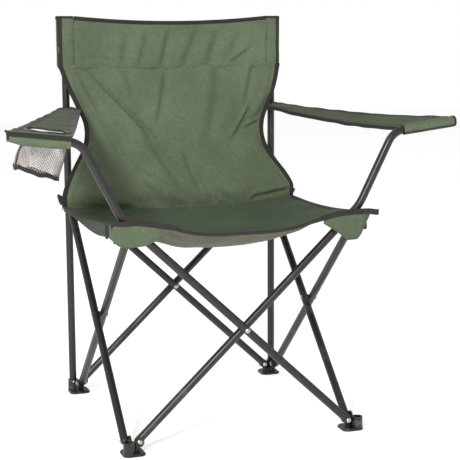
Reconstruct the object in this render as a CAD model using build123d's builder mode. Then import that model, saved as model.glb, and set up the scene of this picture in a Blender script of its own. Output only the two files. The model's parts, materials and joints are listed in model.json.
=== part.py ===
from build123d import *
import os

# Folding camp chair: four scissor pairs of steel tube between four corner feet,
# two sliders and two front corners, with a fabric seat, back and armrests.
# Millimetres. The chair stands on z = 0 and faces -Y, +X is on the right of
# someone who looks at its front, and the origin is under the middle of the frame.

# Frame layout
HALF_SPAN = 217.5  # a foot pivot to the middle of its side
PAIR_PLANE = 234.0  # middle plane of each crossed pair of tubes
LAYER = 8.6  # from the pair's middle plane to either tube's own plane
FOOT_PIVOT_Z = 23.0
CROSS_Z = 227.4  # where the two tubes of a pair cross
TOP_PIVOT_Z = 2 * CROSS_Z - FOOT_PIVOT_Z
INNER = PAIR_PLANE - LAYER
OUTER = PAIR_PLANE + LAYER
POST_AT = 240.5  # the uprights and corner sockets, in both X and Y
POST_TOP = 826.0

# Tube and fasteners
TUBE_R = 8.0
TUBE_WALL = 1.0
RIVET_R = 2.5
RIVET_HOLE_R = 2.6
RIVET_SIZES = (RIVET_R, 5.2, 2.4)  # shank radius, head radius, head height
PIN_R = 1.8
PIN_SIZES = (PIN_R, 3.1, 1.4)
HEAD_GAP = 0.05
WASHER_R = 6.5
WASHER_T = 1.0

# Bent arms, as the middle line of the left one: bends, tip and bend radii
ARM_BEND_LOW = (-248.0, 460.5)
ARM_BEND_HIGH = (-321.0, 604.0)
ARM_TIP = (-452.0, 619.5)
ARM_RADIUS_LOW = 90.0
ARM_RADIUS_HIGH = 42.0

# Corner mouldings
WALL_T = 3.6
WALL_GAP = 0.3  # a wall to the crest of its tube
LUG_R = 9.5
SOCKET_R = 11.0
SOCKET_H = 27.0
SOCKET_BORE_R = 8.05
FLANGE_T = 5.0
FLANGE_IN = 207.5
FLANGE_OUT = 252.5
FLANGE_CORNER_R = 12.0
RIB_AT = (239.0, 225.5)
CORE_HOLE_AT = (224.0, 9.5)
CORE_HOLE_R = 1.6
SLIDER_BORE_R = 8.3
SLIDER_LOW = TOP_PIVOT_Z - 22.0
SLIDER_HIGH = TOP_PIVOT_Z + 4.0
CORNER_LOW = TOP_PIVOT_Z - 20.0
CORNER_HIGH = TOP_PIVOT_Z - 4.5

# Armrests, on the left: the arm's tip runs inside a sleeve along its front end
COLLAR_R = 15.5
COLLAR_LOW = 629.0
COLLAR_HIGH = 645.0
REST_BACK_Y = 223.0
REST_BACK_Z = 638.0
REST_BACK_X = (-262.0, -226.0)
REST_FRONT_X = (-447.0, -336.0)
REST_SAG = 5.0
SLEEVE_IN_R = 8.5
SLEEVE_OUT_R = 10.5
SLEEVE_START_X = -347.0
SLEEVE_BEHIND = 10.8  # an arm tube's axis to the armrest's front edge
CUP_AT = (-365.0, -160.0)
CUP_R = 42.0
CUP_HOLE_R = 38.0
CUP_TOP = 610.0
CUP_BOTTOM = 532.0
CUP_WALL = 1.4
CUP_RIM_R = 45.0
CUP_RIM_T = 2.0

# Fabric
FABRIC_T = 2.0
BACK_TOP_Z = 834.0
BACK_SAG_TOP = 10.0
SEAM_Y = 172.0
SEAM_Z = 430.0
SEAM_SAG = 15.0
SEAT_FRONT_Y = -233.0
SEAT_SPLIT_Y = -30.5
SEAT_HALF_WIDTH = 270.0
SEAT_SIDE_SAG = 26.0
SEAT_BELLY = 46.0
SPLIT_GAP = 0.5
POCKET_T = 2.0

# Back panel, from the seam up: height, half width, depth at the sides
BACK_STATIONS = [
    (SEAM_Z, 268.0, SEAM_Y),
    (474.0, 261.0, 178.0),
    (516.0, 236.0, 199.0),
    (551.0, 214.0, 204.0),
    (590.0, 207.0, 202.0),
    (645.0, 226.0, 209.0),
    (690.0, 246.0, 219.0),
    (727.0, 256.0, 227.5),
    (780.0, 257.0, 228.5),
    (BACK_TOP_Z, 258.0, 228.5),
]

os.makedirs("parts", exist_ok=True)


def save(builder, name):
    """Label a finished piece and write its STEP file."""
    builder.part.label = name
    export_step(builder.part, f"parts/{name}.step")


def between(stations, height):
    """Half width and depth of the back at a height, on a smooth curve through the stations."""
    last = len(stations) - 1
    k = next((i for i in range(last) if height <= stations[i + 1][0]), last - 1)
    around = [stations[min(max(k + i, 0), last)] for i in (-1, 0, 1, 2)]
    t = (height - around[1][0]) / (around[2][0] - around[1][0])
    values = []
    for i in (1, 2):
        a, b, c, d = (station[i] for station in around)
        values.append(b + 0.5 * t * (c - a + t * (2 * a - 5 * b + 4 * c - d + t * (3 * (b - c) + d - a))))
    return values


def revolve_rivet(start, end, sizes=RIVET_SIZES):
    """A round-headed rivet, its heads seated at start and end, as part of the open BuildPart."""
    shank_r, head_r, head_h = sizes
    grip = (end - start).length
    dome_r = (head_r**2 + head_h**2) / (2 * head_h)
    side = Plane(origin=start, z_dir=end - start)
    section = Plane(origin=start, x_dir=side.x_dir, z_dir=side.x_dir.cross(side.z_dir))
    with BuildSketch(section) as profile:
        with BuildLine():
            Line((0, -head_h), (0, grip + head_h))
            RadiusArc((0, grip + head_h), (head_r, grip), dome_r)
            Polyline((head_r, grip), (shank_r, grip), (shank_r, 0), (head_r, 0))
            RadiusArc((head_r, 0), (0, -head_h), dome_r)
        make_face()
    revolve(profiles=profile.sketch, axis=Axis(start, end - start))


def drill_across(points, direction, radius=RIVET_HOLE_R):
    """Round holes through the open BuildPart at each point, along one direction."""
    for point in points:
        with BuildSketch(Plane(origin=point, z_dir=direction)) as hole:
            Circle(radius)
        extrude(to_extrude=hole.sketch, amount=3 * TUBE_R, both=True, mode=Mode.SUBTRACT)


def make_straight_tube(name, start, end, pivot_axis):
    """A side or back tube with closed round ends, drilled at both ends and the middle."""
    length = (end - start).length
    bore_r = TUBE_R - TUBE_WALL
    cross = Plane(origin=start, z_dir=end - start)
    section = Plane(origin=start, x_dir=cross.x_dir, z_dir=cross.x_dir.cross(cross.z_dir))
    with BuildPart() as tube:
        with BuildSketch(section):
            with BuildLine():
                RadiusArc((0, -TUBE_R), (TUBE_R, 0), -TUBE_R)
                Line((TUBE_R, 0), (TUBE_R, length))
                RadiusArc((TUBE_R, length), (0, length + TUBE_R), -TUBE_R)
                Line((0, length + TUBE_R), (0, length + bore_r))
                RadiusArc((0, length + bore_r), (bore_r, length), bore_r)
                Line((bore_r, length), (bore_r, 0))
                RadiusArc((bore_r, 0), (0, -bore_r), bore_r)
                Line((0, -bore_r), (0, -TUBE_R))
            make_face()
        revolve(axis=Axis(start, end - start))
        drill_across((start, (start + end) / 2, end), pivot_axis)
    save(tube, name)


def make_arm_tube(name, side, plane_y):
    """A front tube: straight from the far foot past its front corner, then bent out as an arm."""
    facing = Plane(origin=(0, plane_y, 0), x_dir=(1, 0, 0), z_dir=(0, -1, 0))
    foot = (-side * HALF_SPAN, FOOT_PIVOT_Z)
    route = [foot] + [(-side * x, z) for x, z in (ARM_BEND_LOW, ARM_BEND_HIGH, ARM_TIP)]
    pivots = [
        Vector(-side * HALF_SPAN, plane_y, FOOT_PIVOT_Z),
        Vector(0, plane_y, CROSS_Z),
        Vector(side * HALF_SPAN, plane_y, TOP_PIVOT_Z),
    ]
    with BuildPart() as tube:
        with BuildLine(facing) as path:
            FilletPolyline(*route, radius=[ARM_RADIUS_LOW, ARM_RADIUS_HIGH])
        with BuildSketch(path.line ^ 0):
            Circle(TUBE_R)
        sweep(path=path.line)
        with Locations(pivots[0]):
            Sphere(TUBE_R)
        with BuildSketch(path.line ^ 0):
            Circle(TUBE_R - TUBE_WALL)
        sweep(path=path.line, mode=Mode.SUBTRACT)
        drill_across(pivots, (0, 1, 0))
    save(tube, name)
    return Plane(path.line ^ 1)


def make_tip_plug(name, tip):
    """The push-in end plug of an arm: a stem in the bore and a low round head."""
    stem_r = TUBE_R - TUBE_WALL - 0.1
    with BuildPart() as plug:
        with BuildSketch(tip.offset(-14.0)):
            Circle(stem_r)
        extrude(amount=14.0)
        with BuildSketch(tip.offset(0.1)):
            Circle(TUBE_R)
        extrude(amount=3.0)
        fillet(plug.faces().sort_by(Axis(tip.origin, tip.z_dir))[-1].edges(), 2.4)
        with BuildSketch(tip.offset(-0.5)):
            Circle(stem_r)
        extrude(amount=1.0)
    save(plug, name)


def corner_planes(turn, hand, outside=False):
    """Working planes of a corner: its base, and its walls beside the inner and the outer tube.

    Sketch coordinates on both walls are the distance along the wall and the height. The outer
    tube's wall stands on the inside of that tube, or on its outside where outside is true.
    """
    base = Plane.XY.rotated((0, 0, turn))
    wall_low = INNER + TUBE_R + WALL_GAP
    inner_x = wall_low if hand > 0 else -wall_low - WALL_T
    outer_y = OUTER + TUBE_R + WALL_GAP + WALL_T if outside else OUTER - TUBE_R - WALL_GAP
    by_inner = Plane(
        origin=base.from_local_coords((inner_x, 0, 0)), x_dir=base.y_dir, z_dir=base.x_dir
    )
    by_outer = Plane(
        origin=base.from_local_coords((0, outer_y, 0)), x_dir=base.x_dir, z_dir=-base.y_dir
    )
    return base, by_inner, by_outer


def raise_walls(by_inner, by_outer, hand, low, high, pivot_z):
    """Both walls of a corner, each a plate from the corner post to a round lug at its tube's pivot."""
    for wall, sign in ((by_inner, 1), (by_outer, hand)):
        with BuildSketch(wall) as plate:
            with Locations((sign * (HALF_SPAN + POST_AT) / 2, (low + high) / 2)):
                Rectangle(POST_AT - HALF_SPAN, high - low)
            with Locations((sign * HALF_SPAN, pivot_z)):
                Circle(LUG_R)
            with Locations((sign * HALF_SPAN, pivot_z)):
                Circle(RIVET_R, mode=Mode.SUBTRACT)
        extrude(to_extrude=plate.sketch, amount=WALL_T)


def pivot_pair(base, hand, height):
    """Centres of a corner's two pivots, on the middle lines of its inner and its outer tube."""
    inner = base.from_local_coords(Vector(hand * INNER, HALF_SPAN, height))
    outer = base.from_local_coords(Vector(hand * HALF_SPAN, OUTER, height))
    return inner, outer


def pivot_rivets(base, hand, height, outside=False):
    """The two rivets of a corner, each through a wall and its tube, as part of the open BuildPart."""
    inner, outer = pivot_pair(base, hand, height)
    out_x = base.x_dir * hand
    out_y = base.y_dir
    reach = TUBE_R + WALL_GAP + WALL_T
    revolve_rivet(inner - out_x * (TUBE_R + HEAD_GAP), inner + out_x * reach)
    if outside:
        out_y = out_y * -1
    revolve_rivet(outer - out_y * reach, outer + out_y * (TUBE_R + HEAD_GAP))


def make_foot(name, turn, has_post, pin_along_y):
    """A foot moulding: flange, corner socket and two walls, with a rib and a core hole on one wall."""
    base, by_inner, by_outer = corner_planes(turn, -1)
    middle = (FLANGE_IN + FLANGE_OUT) / 2
    post = base.from_local_coords(Vector(-POST_AT, POST_AT, FOOT_PIVOT_Z))
    pin_axis = base.y_dir if pin_along_y else base.x_dir
    with BuildPart() as foot:
        with BuildSketch(base):
            with Locations((-middle, middle)):
                RectangleRounded(FLANGE_OUT - FLANGE_IN, FLANGE_OUT - FLANGE_IN, FLANGE_CORNER_R)
        extrude(amount=FLANGE_T)
        chamfer(foot.faces().sort_by(Axis.Z)[-1].edges(), 2.0)
        raise_walls(by_inner, by_outer, -1, FLANGE_T - 2.5, SOCKET_H - 1.0, FOOT_PIVOT_Z)
        with BuildSketch(base):
            with Locations((-POST_AT, POST_AT)):
                Circle(SOCKET_R)
        extrude(amount=SOCKET_H)
        with BuildSketch(base.offset(FLANGE_T)):
            with Locations((-POST_AT, POST_AT)):
                Circle(SOCKET_BORE_R)
        extrude(amount=SOCKET_H, mode=Mode.SUBTRACT)
        with BuildSketch(base.offset(FLANGE_T - 0.5)):
            with Locations((-RIB_AT[0], RIB_AT[1])):
                Rectangle(3.2, 2.0)
        extrude(amount=SOCKET_H - FLANGE_T - 4.0)
        with BuildSketch(by_inner):
            with Locations(CORE_HOLE_AT):
                Circle(CORE_HOLE_R)
        extrude(amount=3 * WALL_T, both=True, mode=Mode.SUBTRACT)
        if has_post:
            drill_across([post], pin_axis, PIN_R)
    save(foot, name)

    with BuildPart() as rivets:
        pivot_rivets(base, -1, FOOT_PIVOT_Z)
        if has_post:
            reach = pin_axis * (SOCKET_R + HEAD_GAP)
            revolve_rivet(post - reach, post + reach, PIN_SIZES)
    save(rivets, name.replace("foot", "foot_rivets"))


def make_slider(name, turn):
    """A slider: a sleeve that runs on an upright, with a wall and lug for each of two tubes."""
    base, by_inner, by_outer = corner_planes(turn, 1)
    with BuildPart() as slider:
        raise_walls(by_inner, by_outer, 1, SLIDER_LOW + 3.0, SLIDER_HIGH - 3.0, TOP_PIVOT_Z)
        with BuildSketch(base.offset(SLIDER_LOW)):
            with Locations((POST_AT, POST_AT)):
                Circle(SOCKET_R)
        extrude(amount=SLIDER_HIGH - SLIDER_LOW)
        with BuildSketch(base.offset(SLIDER_LOW)):
            with Locations((POST_AT, POST_AT)):
                Circle(SLIDER_BORE_R)
        extrude(amount=SLIDER_HIGH - SLIDER_LOW, mode=Mode.SUBTRACT)
    save(slider, name)

    with BuildPart() as rivets:
        pivot_rivets(base, 1, TOP_PIVOT_Z)
    save(rivets, name.replace("slider", "slider_rivets"))


def make_front_corner(name, turn, outside):
    """A front corner: two walls and lugs on a low block, with a peg that holds the seat's corner out.

    On the right the arm tube is the inner one and passes over the block, so the outer tube's
    wall stands outside that tube, and the peg points the other way round the corner.
    """
    base, by_inner, by_outer = corner_planes(turn, 1, outside)
    near = INNER + TUBE_R + WALL_GAP
    far = OUTER + TUBE_R + WALL_GAP + WALL_T if outside else near + 3.0
    peg = (near - 2.0, near + 13.0) if outside else (near + 13.0, near - 2.0)
    size = (9.0, 28.0) if outside else (28.0, 9.0)
    with BuildPart() as corner:
        raise_walls(by_inner, by_outer, 1, CORNER_LOW, CORNER_HIGH, TOP_PIVOT_Z)
        with BuildSketch(base.offset(CORNER_LOW)):
            with Locations((near + 1.0, (near - 5.0 + far) / 2)):
                Rectangle(13.0, far - near + 5.0)
            with Locations(peg):
                RectangleRounded(*size, 3.0)
        extrude(amount=CORNER_HIGH - CORNER_LOW - 3.0)
    save(corner, name)

    with BuildPart() as rivets:
        pivot_rivets(base, 1, TOP_PIVOT_Z, outside)
    save(rivets, name.replace("front_corner", "front_corner_rivets"))


def make_crossing(name, outward):
    """The rivet and the washer where a pair of tubes cross, outward pointing to the pair's outside."""
    centre = outward * PAIR_PLANE + Vector(0, 0, CROSS_Z)
    reach = outward * (LAYER + TUBE_R + HEAD_GAP)
    with BuildPart() as rivet:
        revolve_rivet(centre - reach, centre + reach)
    save(rivet, f"{name}_cross_rivet")

    with BuildPart() as washer:
        with BuildSketch(Plane(origin=centre - outward * (WASHER_T / 2), z_dir=outward)):
            Circle(WASHER_R)
            Circle(RIVET_HOLE_R, mode=Mode.SUBTRACT)
        extrude(amount=WASHER_T)
    save(washer, f"{name}_cross_washer")


def make_upright(side, label):
    """An upright, the cap in its top, the armrest's collar near its top and the fabric sleeve's back."""
    at = Plane.XY.offset(FLANGE_T)
    post = Location((side * POST_AT, POST_AT))
    pin = Vector(side * POST_AT, POST_AT, FOOT_PIVOT_Z)
    with BuildPart() as upright:
        with BuildSketch(at):
            with Locations(post):
                Circle(TUBE_R)
                Circle(TUBE_R - TUBE_WALL, mode=Mode.SUBTRACT)
        extrude(amount=POST_TOP - FLANGE_T)
        drill_across([pin], (0, 1, 0), PIN_R)
    save(upright, f"upright_{label}")

    with BuildPart() as cap:
        with BuildSketch(Plane.XY.offset(POST_TOP - 12.0)):
            with Locations(post):
                Circle(TUBE_R - TUBE_WALL - 0.1)
        extrude(amount=12.0)
        with BuildSketch(Plane.XY.offset(POST_TOP)):
            with Locations(post):
                Circle(TUBE_R)
        extrude(amount=3.0)
        fillet(cap.faces().sort_by(Axis.Z)[-1].edges(), 2.0)
    save(cap, f"upright_cap_{label}")

    with BuildPart() as collar:
        with BuildSketch(Plane.XY.offset(COLLAR_LOW)):
            with Locations(post):
                Circle(COLLAR_R)
                Circle(TUBE_R + 0.05, mode=Mode.SUBTRACT)
        extrude(amount=COLLAR_HIGH - COLLAR_LOW)
        fillet(collar.edges().filter_by(GeomType.CIRCLE).group_by(SortBy.RADIUS)[-1], 1.2)
    save(collar, f"arm_collar_{label}")

    with BuildPart() as sleeve:
        with BuildSketch(Plane.XY.offset(729.0)):
            with Locations(post):
                Circle(10.4)
                Circle(8.6, mode=Mode.SUBTRACT)
            with Locations((side * POST_AT, POST_AT - 15.0)):
                Rectangle(24.0, 14.0, mode=Mode.SUBTRACT)
        extrude(amount=BACK_TOP_Z - 3.0 - 729.0)
    save(sleeve, f"back_sleeve_{label}")


def seam_height(x):
    """Height of the seam between back and seat, which sags between its ends."""
    return SEAM_Z - SEAM_SAG * (1 - (x / SEAT_HALF_WIDTH) ** 2)


def front_height(x):
    """Height of the seat's front edge: low in the middle, highest over the front corners."""
    rise = 35.0 * min(1.0, abs(x) / 215.0) ** 1.8
    return 419.0 + rise


def seat_height(x, y):
    """Height of the seat: stretched between its four edges, with a belly that sags below them."""
    across = x / SEAT_HALF_WIDTH
    along = (y - SEAM_Y) / (SEAT_FRONT_Y - SEAM_Y)
    edges = seam_height(x) * (1 - along) + front_height(x) * along
    hollow = 4 * along * (1 - along)
    return edges - SEAT_SIDE_SAG * hollow - SEAT_BELLY * hollow * (1 - across**2)


def back_point(across, height):
    """A point on the back's middle surface: across is -1 to 1 between its side edges."""
    width, depth = between(BACK_STATIONS, height)
    above = (height - SEAM_Z) / (BACK_TOP_Z - SEAM_Z)
    middle = 1 - across**2
    sag = (BACK_SAG_TOP * above + SEAM_SAG * (1 - above)) * middle
    hollow = 14.0 * middle * 4 * above * (1 - above)
    return Vector(across * width, depth - hollow * (1 - above), height - sag)


def sheet_face(rows):
    """A smooth face through a grid of points."""
    return Face.make_surface_from_array_of_points(rows, min_deg=1, max_deg=3)


def make_seat_half(name, y_from, y_to):
    """One half of the seat, as a sheet that sags between its edges."""
    rows = [
        [
            Vector(SEAT_HALF_WIDTH * i / 8, y, seat_height(SEAT_HALF_WIDTH * i / 8, y))
            for i in range(-8, 9)
        ]
        for y in [y_from + (y_to - y_from) * k / 8 for k in range(9)]
    ]
    with BuildPart() as seat:
        thicken(to_thicken=sheet_face(rows), amount=FABRIC_T)
        if y_to == SEAT_FRONT_Y:
            rise = Vector(HALF_SPAN, 0, TOP_PIVOT_Z - CROSS_Z)
            pivot = Vector(HALF_SPAN, -INNER, TOP_PIVOT_Z)
            with BuildSketch(Plane(origin=pivot, z_dir=rise)):
                Circle(TUBE_R + 1.0)
            extrude(amount=60.0, mode=Mode.SUBTRACT)
    save(seat, name)


def rest_height(share, x):
    """Height of an armrest's underside from its back (0) to its front (1), over the arm's tip."""
    slope = (ARM_TIP[1] - ARM_BEND_HIGH[1]) / (ARM_TIP[0] - ARM_BEND_HIGH[0])
    front = ARM_TIP[1] + (x - ARM_TIP[0]) * slope + SLEEVE_IN_R + 1.0
    return REST_BACK_Z * (1 - share) + front * share


def make_armrest(name, side, front_y):
    """An armrest: a sheet that widens from the upright to the front, with the cup's hole on the left."""
    rows = []
    for k in range(7):
        share = k / 6
        y = REST_BACK_Y + (front_y - REST_BACK_Y) * share
        row = []
        for i in range(5):
            outer = REST_BACK_X[0] + (REST_FRONT_X[0] - REST_BACK_X[0]) * share
            inner = REST_BACK_X[1] + (REST_FRONT_X[1] - REST_BACK_X[1]) * share
            x = outer + (inner - outer) * i / 4
            sag = REST_SAG * 4 * share * (1 - share)
            row.append(Vector(-side * x, y, rest_height(share, x) - sag))
        rows.append(row if side > 0 else row[::-1])
    with BuildPart() as rest:
        thicken(to_thicken=sheet_face(rows), amount=FABRIC_T)
        if side < 0:
            with BuildSketch(Plane.XY.offset(CUP_TOP - 20.0)):
                with Locations(CUP_AT):
                    Circle(CUP_HOLE_R)
            extrude(amount=60.0, mode=Mode.SUBTRACT)
    save(rest, name)


def make_arm_sleeve(name, side, plane_y):
    """The cloth sleeve at an armrest's front, which goes round the arm's straight tip."""
    run = Vector(ARM_TIP[0] - ARM_BEND_HIGH[0], ARM_TIP[1] - ARM_BEND_HIGH[1])
    share_in = (SLEEVE_START_X - ARM_BEND_HIGH[0]) / run.X
    start = Vector(-side * SLEEVE_START_X, plane_y, ARM_BEND_HIGH[1] + run.Y * share_in)
    with BuildPart() as sleeve:
        with BuildSketch(Plane(origin=start, z_dir=Vector(-side * run.X, 0, run.Y))):
            Circle(SLEEVE_OUT_R)
            Circle(SLEEVE_IN_R, mode=Mode.SUBTRACT)
        extrude(amount=SLEEVE_START_X - REST_FRONT_X[0])
    save(sleeve, name)


# Feet, with the uprights' sockets in use at the back only
make_foot("foot_back_left", 0, True, True)
make_foot("foot_front_left", 90, False, True)
make_foot("foot_front_right", 180, False, True)
make_foot("foot_back_right", 270, True, False)

# Uprights
make_upright(-1, "left")
make_upright(1, "right")

# Crossed tubes: each runs from its foot pivot up to the top pivot of the far corner
for name, fixed, low_end in (
    ("back_tube_outer", OUTER, -HALF_SPAN),
    ("back_tube_inner", INNER, HALF_SPAN),
):
    make_straight_tube(
        name,
        Vector(low_end, fixed, FOOT_PIVOT_Z),
        Vector(-low_end, fixed, TOP_PIVOT_Z),
        (0, 1, 0),
    )
for name, fixed, low_end in (
    ("left_tube_inner", -INNER, HALF_SPAN),
    ("left_tube_outer", -OUTER, -HALF_SPAN),
    ("right_tube_outer", OUTER, HALF_SPAN),
    ("right_tube_inner", INNER, -HALF_SPAN),
):
    make_straight_tube(
        name,
        Vector(fixed, low_end, FOOT_PIVOT_Z),
        Vector(fixed, -low_end, TOP_PIVOT_Z),
        (1, 0, 0),
    )
left_tip = make_arm_tube("arm_tube_left", -1, -OUTER)
right_tip = make_arm_tube("arm_tube_right", 1, -INNER)
make_tip_plug("arm_plug_left", left_tip)
make_tip_plug("arm_plug_right", right_tip)

# Crossing rivets and washers
make_crossing("front", Vector(0, -1, 0))
make_crossing("back", Vector(0, 1, 0))
make_crossing("left", Vector(-1, 0, 0))
make_crossing("right", Vector(1, 0, 0))

# Sliders on the uprights and the two front corners
make_slider("slider_right", 0)
make_slider("slider_left", 90)
make_front_corner("front_corner_left", 180, False)
make_front_corner("front_corner_right", 270, True)

# Back panel
back_rows = [
    [back_point(i / 8, SEAM_Z + 4.0 + (BACK_TOP_Z - SEAM_Z - 4.0) * k / 16) for i in range(-8, 9)]
    for k in range(17)
]
with BuildPart() as back_panel:
    thicken(to_thicken=sheet_face(back_rows), amount=FABRIC_T)
save(back_panel, "back_panel")

# Seat, in two halves that fold down about their outer edges
make_seat_half("seat_rear", SEAM_Y, SEAT_SPLIT_Y + SPLIT_GAP)
make_seat_half("seat_front", SEAT_SPLIT_Y - SPLIT_GAP, SEAT_FRONT_Y)

# Pockets under the seat's front corners, each a front face and a side face
for side, label in ((-1, "left"), (1, "right")):
    with BuildPart() as pocket:
        with BuildSketch(Plane.XZ.offset(254.0)):
            with BuildLine():
                Polyline(
                    (side * 264.0, 446.0),
                    (side * 262.0, 412.0),
                    (side * 236.0, 404.0),
                    (side * 205.0, 407.0),
                    (side * 158.0, 430.0),
                    (side * 185.0, 446.0),
                    close=True,
                )
            make_face()
        extrude(amount=POCKET_T)
        with BuildSketch(Plane.YZ.offset(side * 264.0 - POCKET_T / 2)):
            with BuildLine():
                Polyline(
                    (-254.0 - POCKET_T, 446.0),
                    (-254.0 - POCKET_T, 411.0),
                    (-232.0, 406.0),
                    (-206.0, 428.0),
                    (-210.0, 444.0),
                    close=True,
                )
            make_face()
        extrude(amount=POCKET_T)
    save(pocket, f"seat_pocket_{label}")

# Webbing tabs that tie the seat's back corners to the sliders
for side, label in ((-1, "left"), (1, "right")):
    with BuildPart() as tab:
        with BuildSketch(Plane.XY.offset(SLIDER_LOW + 2.0)):
            with BuildLine():
                FilletPolyline(
                    (side * 266.0, 181.0),
                    (side * 258.0, 214.0),
                    (side * 255.0, 250.0),
                    radius=30.0,
                )
            trace(line_width=1.6)
        extrude(amount=22.0)
    save(tab, f"seat_tab_{label}")

# Armrests, their sleeves, and the cup holder of the left one
make_armrest("armrest_left", -1, SLEEVE_BEHIND - OUTER)
make_armrest("armrest_right", 1, SLEEVE_BEHIND - INNER)
make_arm_sleeve("arm_sleeve_left", -1, -OUTER)
make_arm_sleeve("arm_sleeve_right", 1, -INNER)

with BuildPart() as cup_holder:
    with BuildSketch(Plane.XY.offset(CUP_BOTTOM)):
        with Locations(CUP_AT):
            Circle(CUP_R)
    extrude(amount=CUP_TOP - CUP_BOTTOM)
    with BuildSketch(Plane.XY.offset(CUP_BOTTOM + CUP_WALL)):
        with Locations(CUP_AT):
            Circle(CUP_R - CUP_WALL)
    extrude(amount=CUP_TOP - CUP_BOTTOM, mode=Mode.SUBTRACT)
save(cup_holder, "cup_holder")

rim_share = (REST_BACK_Y - CUP_AT[1]) / (REST_BACK_Y + OUTER - SLEEVE_BEHIND)
rim_z = rest_height(rim_share, CUP_AT[0]) + 5.0
with BuildPart() as cup_rim:
    with BuildSketch(Plane.XY.offset(rim_z)):
        with Locations(CUP_AT):
            Circle(CUP_RIM_R)
            Circle(CUP_HOLE_R, mode=Mode.SUBTRACT)
    extrude(amount=CUP_RIM_T)
save(cup_rim, "cup_rim")
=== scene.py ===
"""Folding camp chair: cloth, tapes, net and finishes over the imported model, in its own frame."""

import json
import logging
import math
from collections.abc import Callable, Sequence
from dataclasses import dataclass, field
from enum import Enum

import bpy
import numpy as np
from mathutils import Matrix, Vector


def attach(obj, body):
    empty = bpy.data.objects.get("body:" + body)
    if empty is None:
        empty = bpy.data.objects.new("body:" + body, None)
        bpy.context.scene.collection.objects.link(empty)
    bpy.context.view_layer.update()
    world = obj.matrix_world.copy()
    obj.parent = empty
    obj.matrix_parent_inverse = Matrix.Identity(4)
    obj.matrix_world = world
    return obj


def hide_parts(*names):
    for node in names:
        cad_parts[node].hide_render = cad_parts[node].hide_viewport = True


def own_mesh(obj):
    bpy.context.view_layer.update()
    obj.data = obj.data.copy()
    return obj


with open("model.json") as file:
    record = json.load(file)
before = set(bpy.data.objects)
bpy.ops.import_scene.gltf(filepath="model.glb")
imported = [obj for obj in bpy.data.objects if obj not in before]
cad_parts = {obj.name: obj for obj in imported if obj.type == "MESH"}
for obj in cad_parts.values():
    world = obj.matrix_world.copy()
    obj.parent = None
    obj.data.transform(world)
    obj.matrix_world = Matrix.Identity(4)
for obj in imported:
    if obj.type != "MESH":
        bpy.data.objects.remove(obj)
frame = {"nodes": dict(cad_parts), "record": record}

LOG = logging.getLogger("camp_chair")
MM = 0.001
Grid = np.ndarray
Pair = tuple[float, float]
Triple = tuple[float, float, float]


class Side(Enum):
    """The sitter's chair as seen from the front: left is towards -X."""

    LEFT = -1
    RIGHT = 1

    @property
    def label(self) -> str:
        """The side's word in node and body names."""
        return self.name.lower()


class Axis(Enum):
    """An axis of the frame, which a run of threads crosses."""

    X = "X"
    Y = "Y"
    Z = "Z"


class Edge(Enum):
    """One edge of a cloth's grid of points."""

    FIRST_ROW = 0
    LAST_ROW = 1
    FIRST_COLUMN = 2
    LAST_COLUMN = 3


# ---------------------------------------------------------------- finishes


def linear(value: str) -> tuple[float, float, float, float]:
    """Turn an sRGB hex colour to linear light.

    Args:
        value: The colour as "#rrggbb".

    Returns:
        Red, green, blue and an alpha of one.
    """
    parts = [int(value[i : i + 2], 16) / 255 for i in (1, 3, 5)]
    light = [p / 12.92 if p <= 0.04045 else ((p + 0.055) / 1.055) ** 2.4 for p in parts]
    return (light[0], light[1], light[2], 1.0)


def add_node(tree: bpy.types.NodeTree, kind: str, inputs: dict, **settings) -> bpy.types.Node:
    """Add a node with its settings, values and links.

    Args:
        tree: The material's node tree.
        kind: The node's type name.
        inputs: Values or sockets by input name or number.
        **settings: Properties of the node itself.

    Returns:
        The new node.
    """
    node = tree.nodes.new(kind)
    for key, value in settings.items():
        setattr(node, key, value)
    for key, value in inputs.items():
        if isinstance(value, bpy.types.NodeSocket):
            tree.links.new(value, node.inputs[key])
        else:
            node.inputs[key].default_value = value
    return node


def band_scale(spacing_mm: float) -> float:
    """The wave texture's scale at which its bands lie that far apart."""
    return 2 * math.pi / 20 / (spacing_mm * MM)


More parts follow.
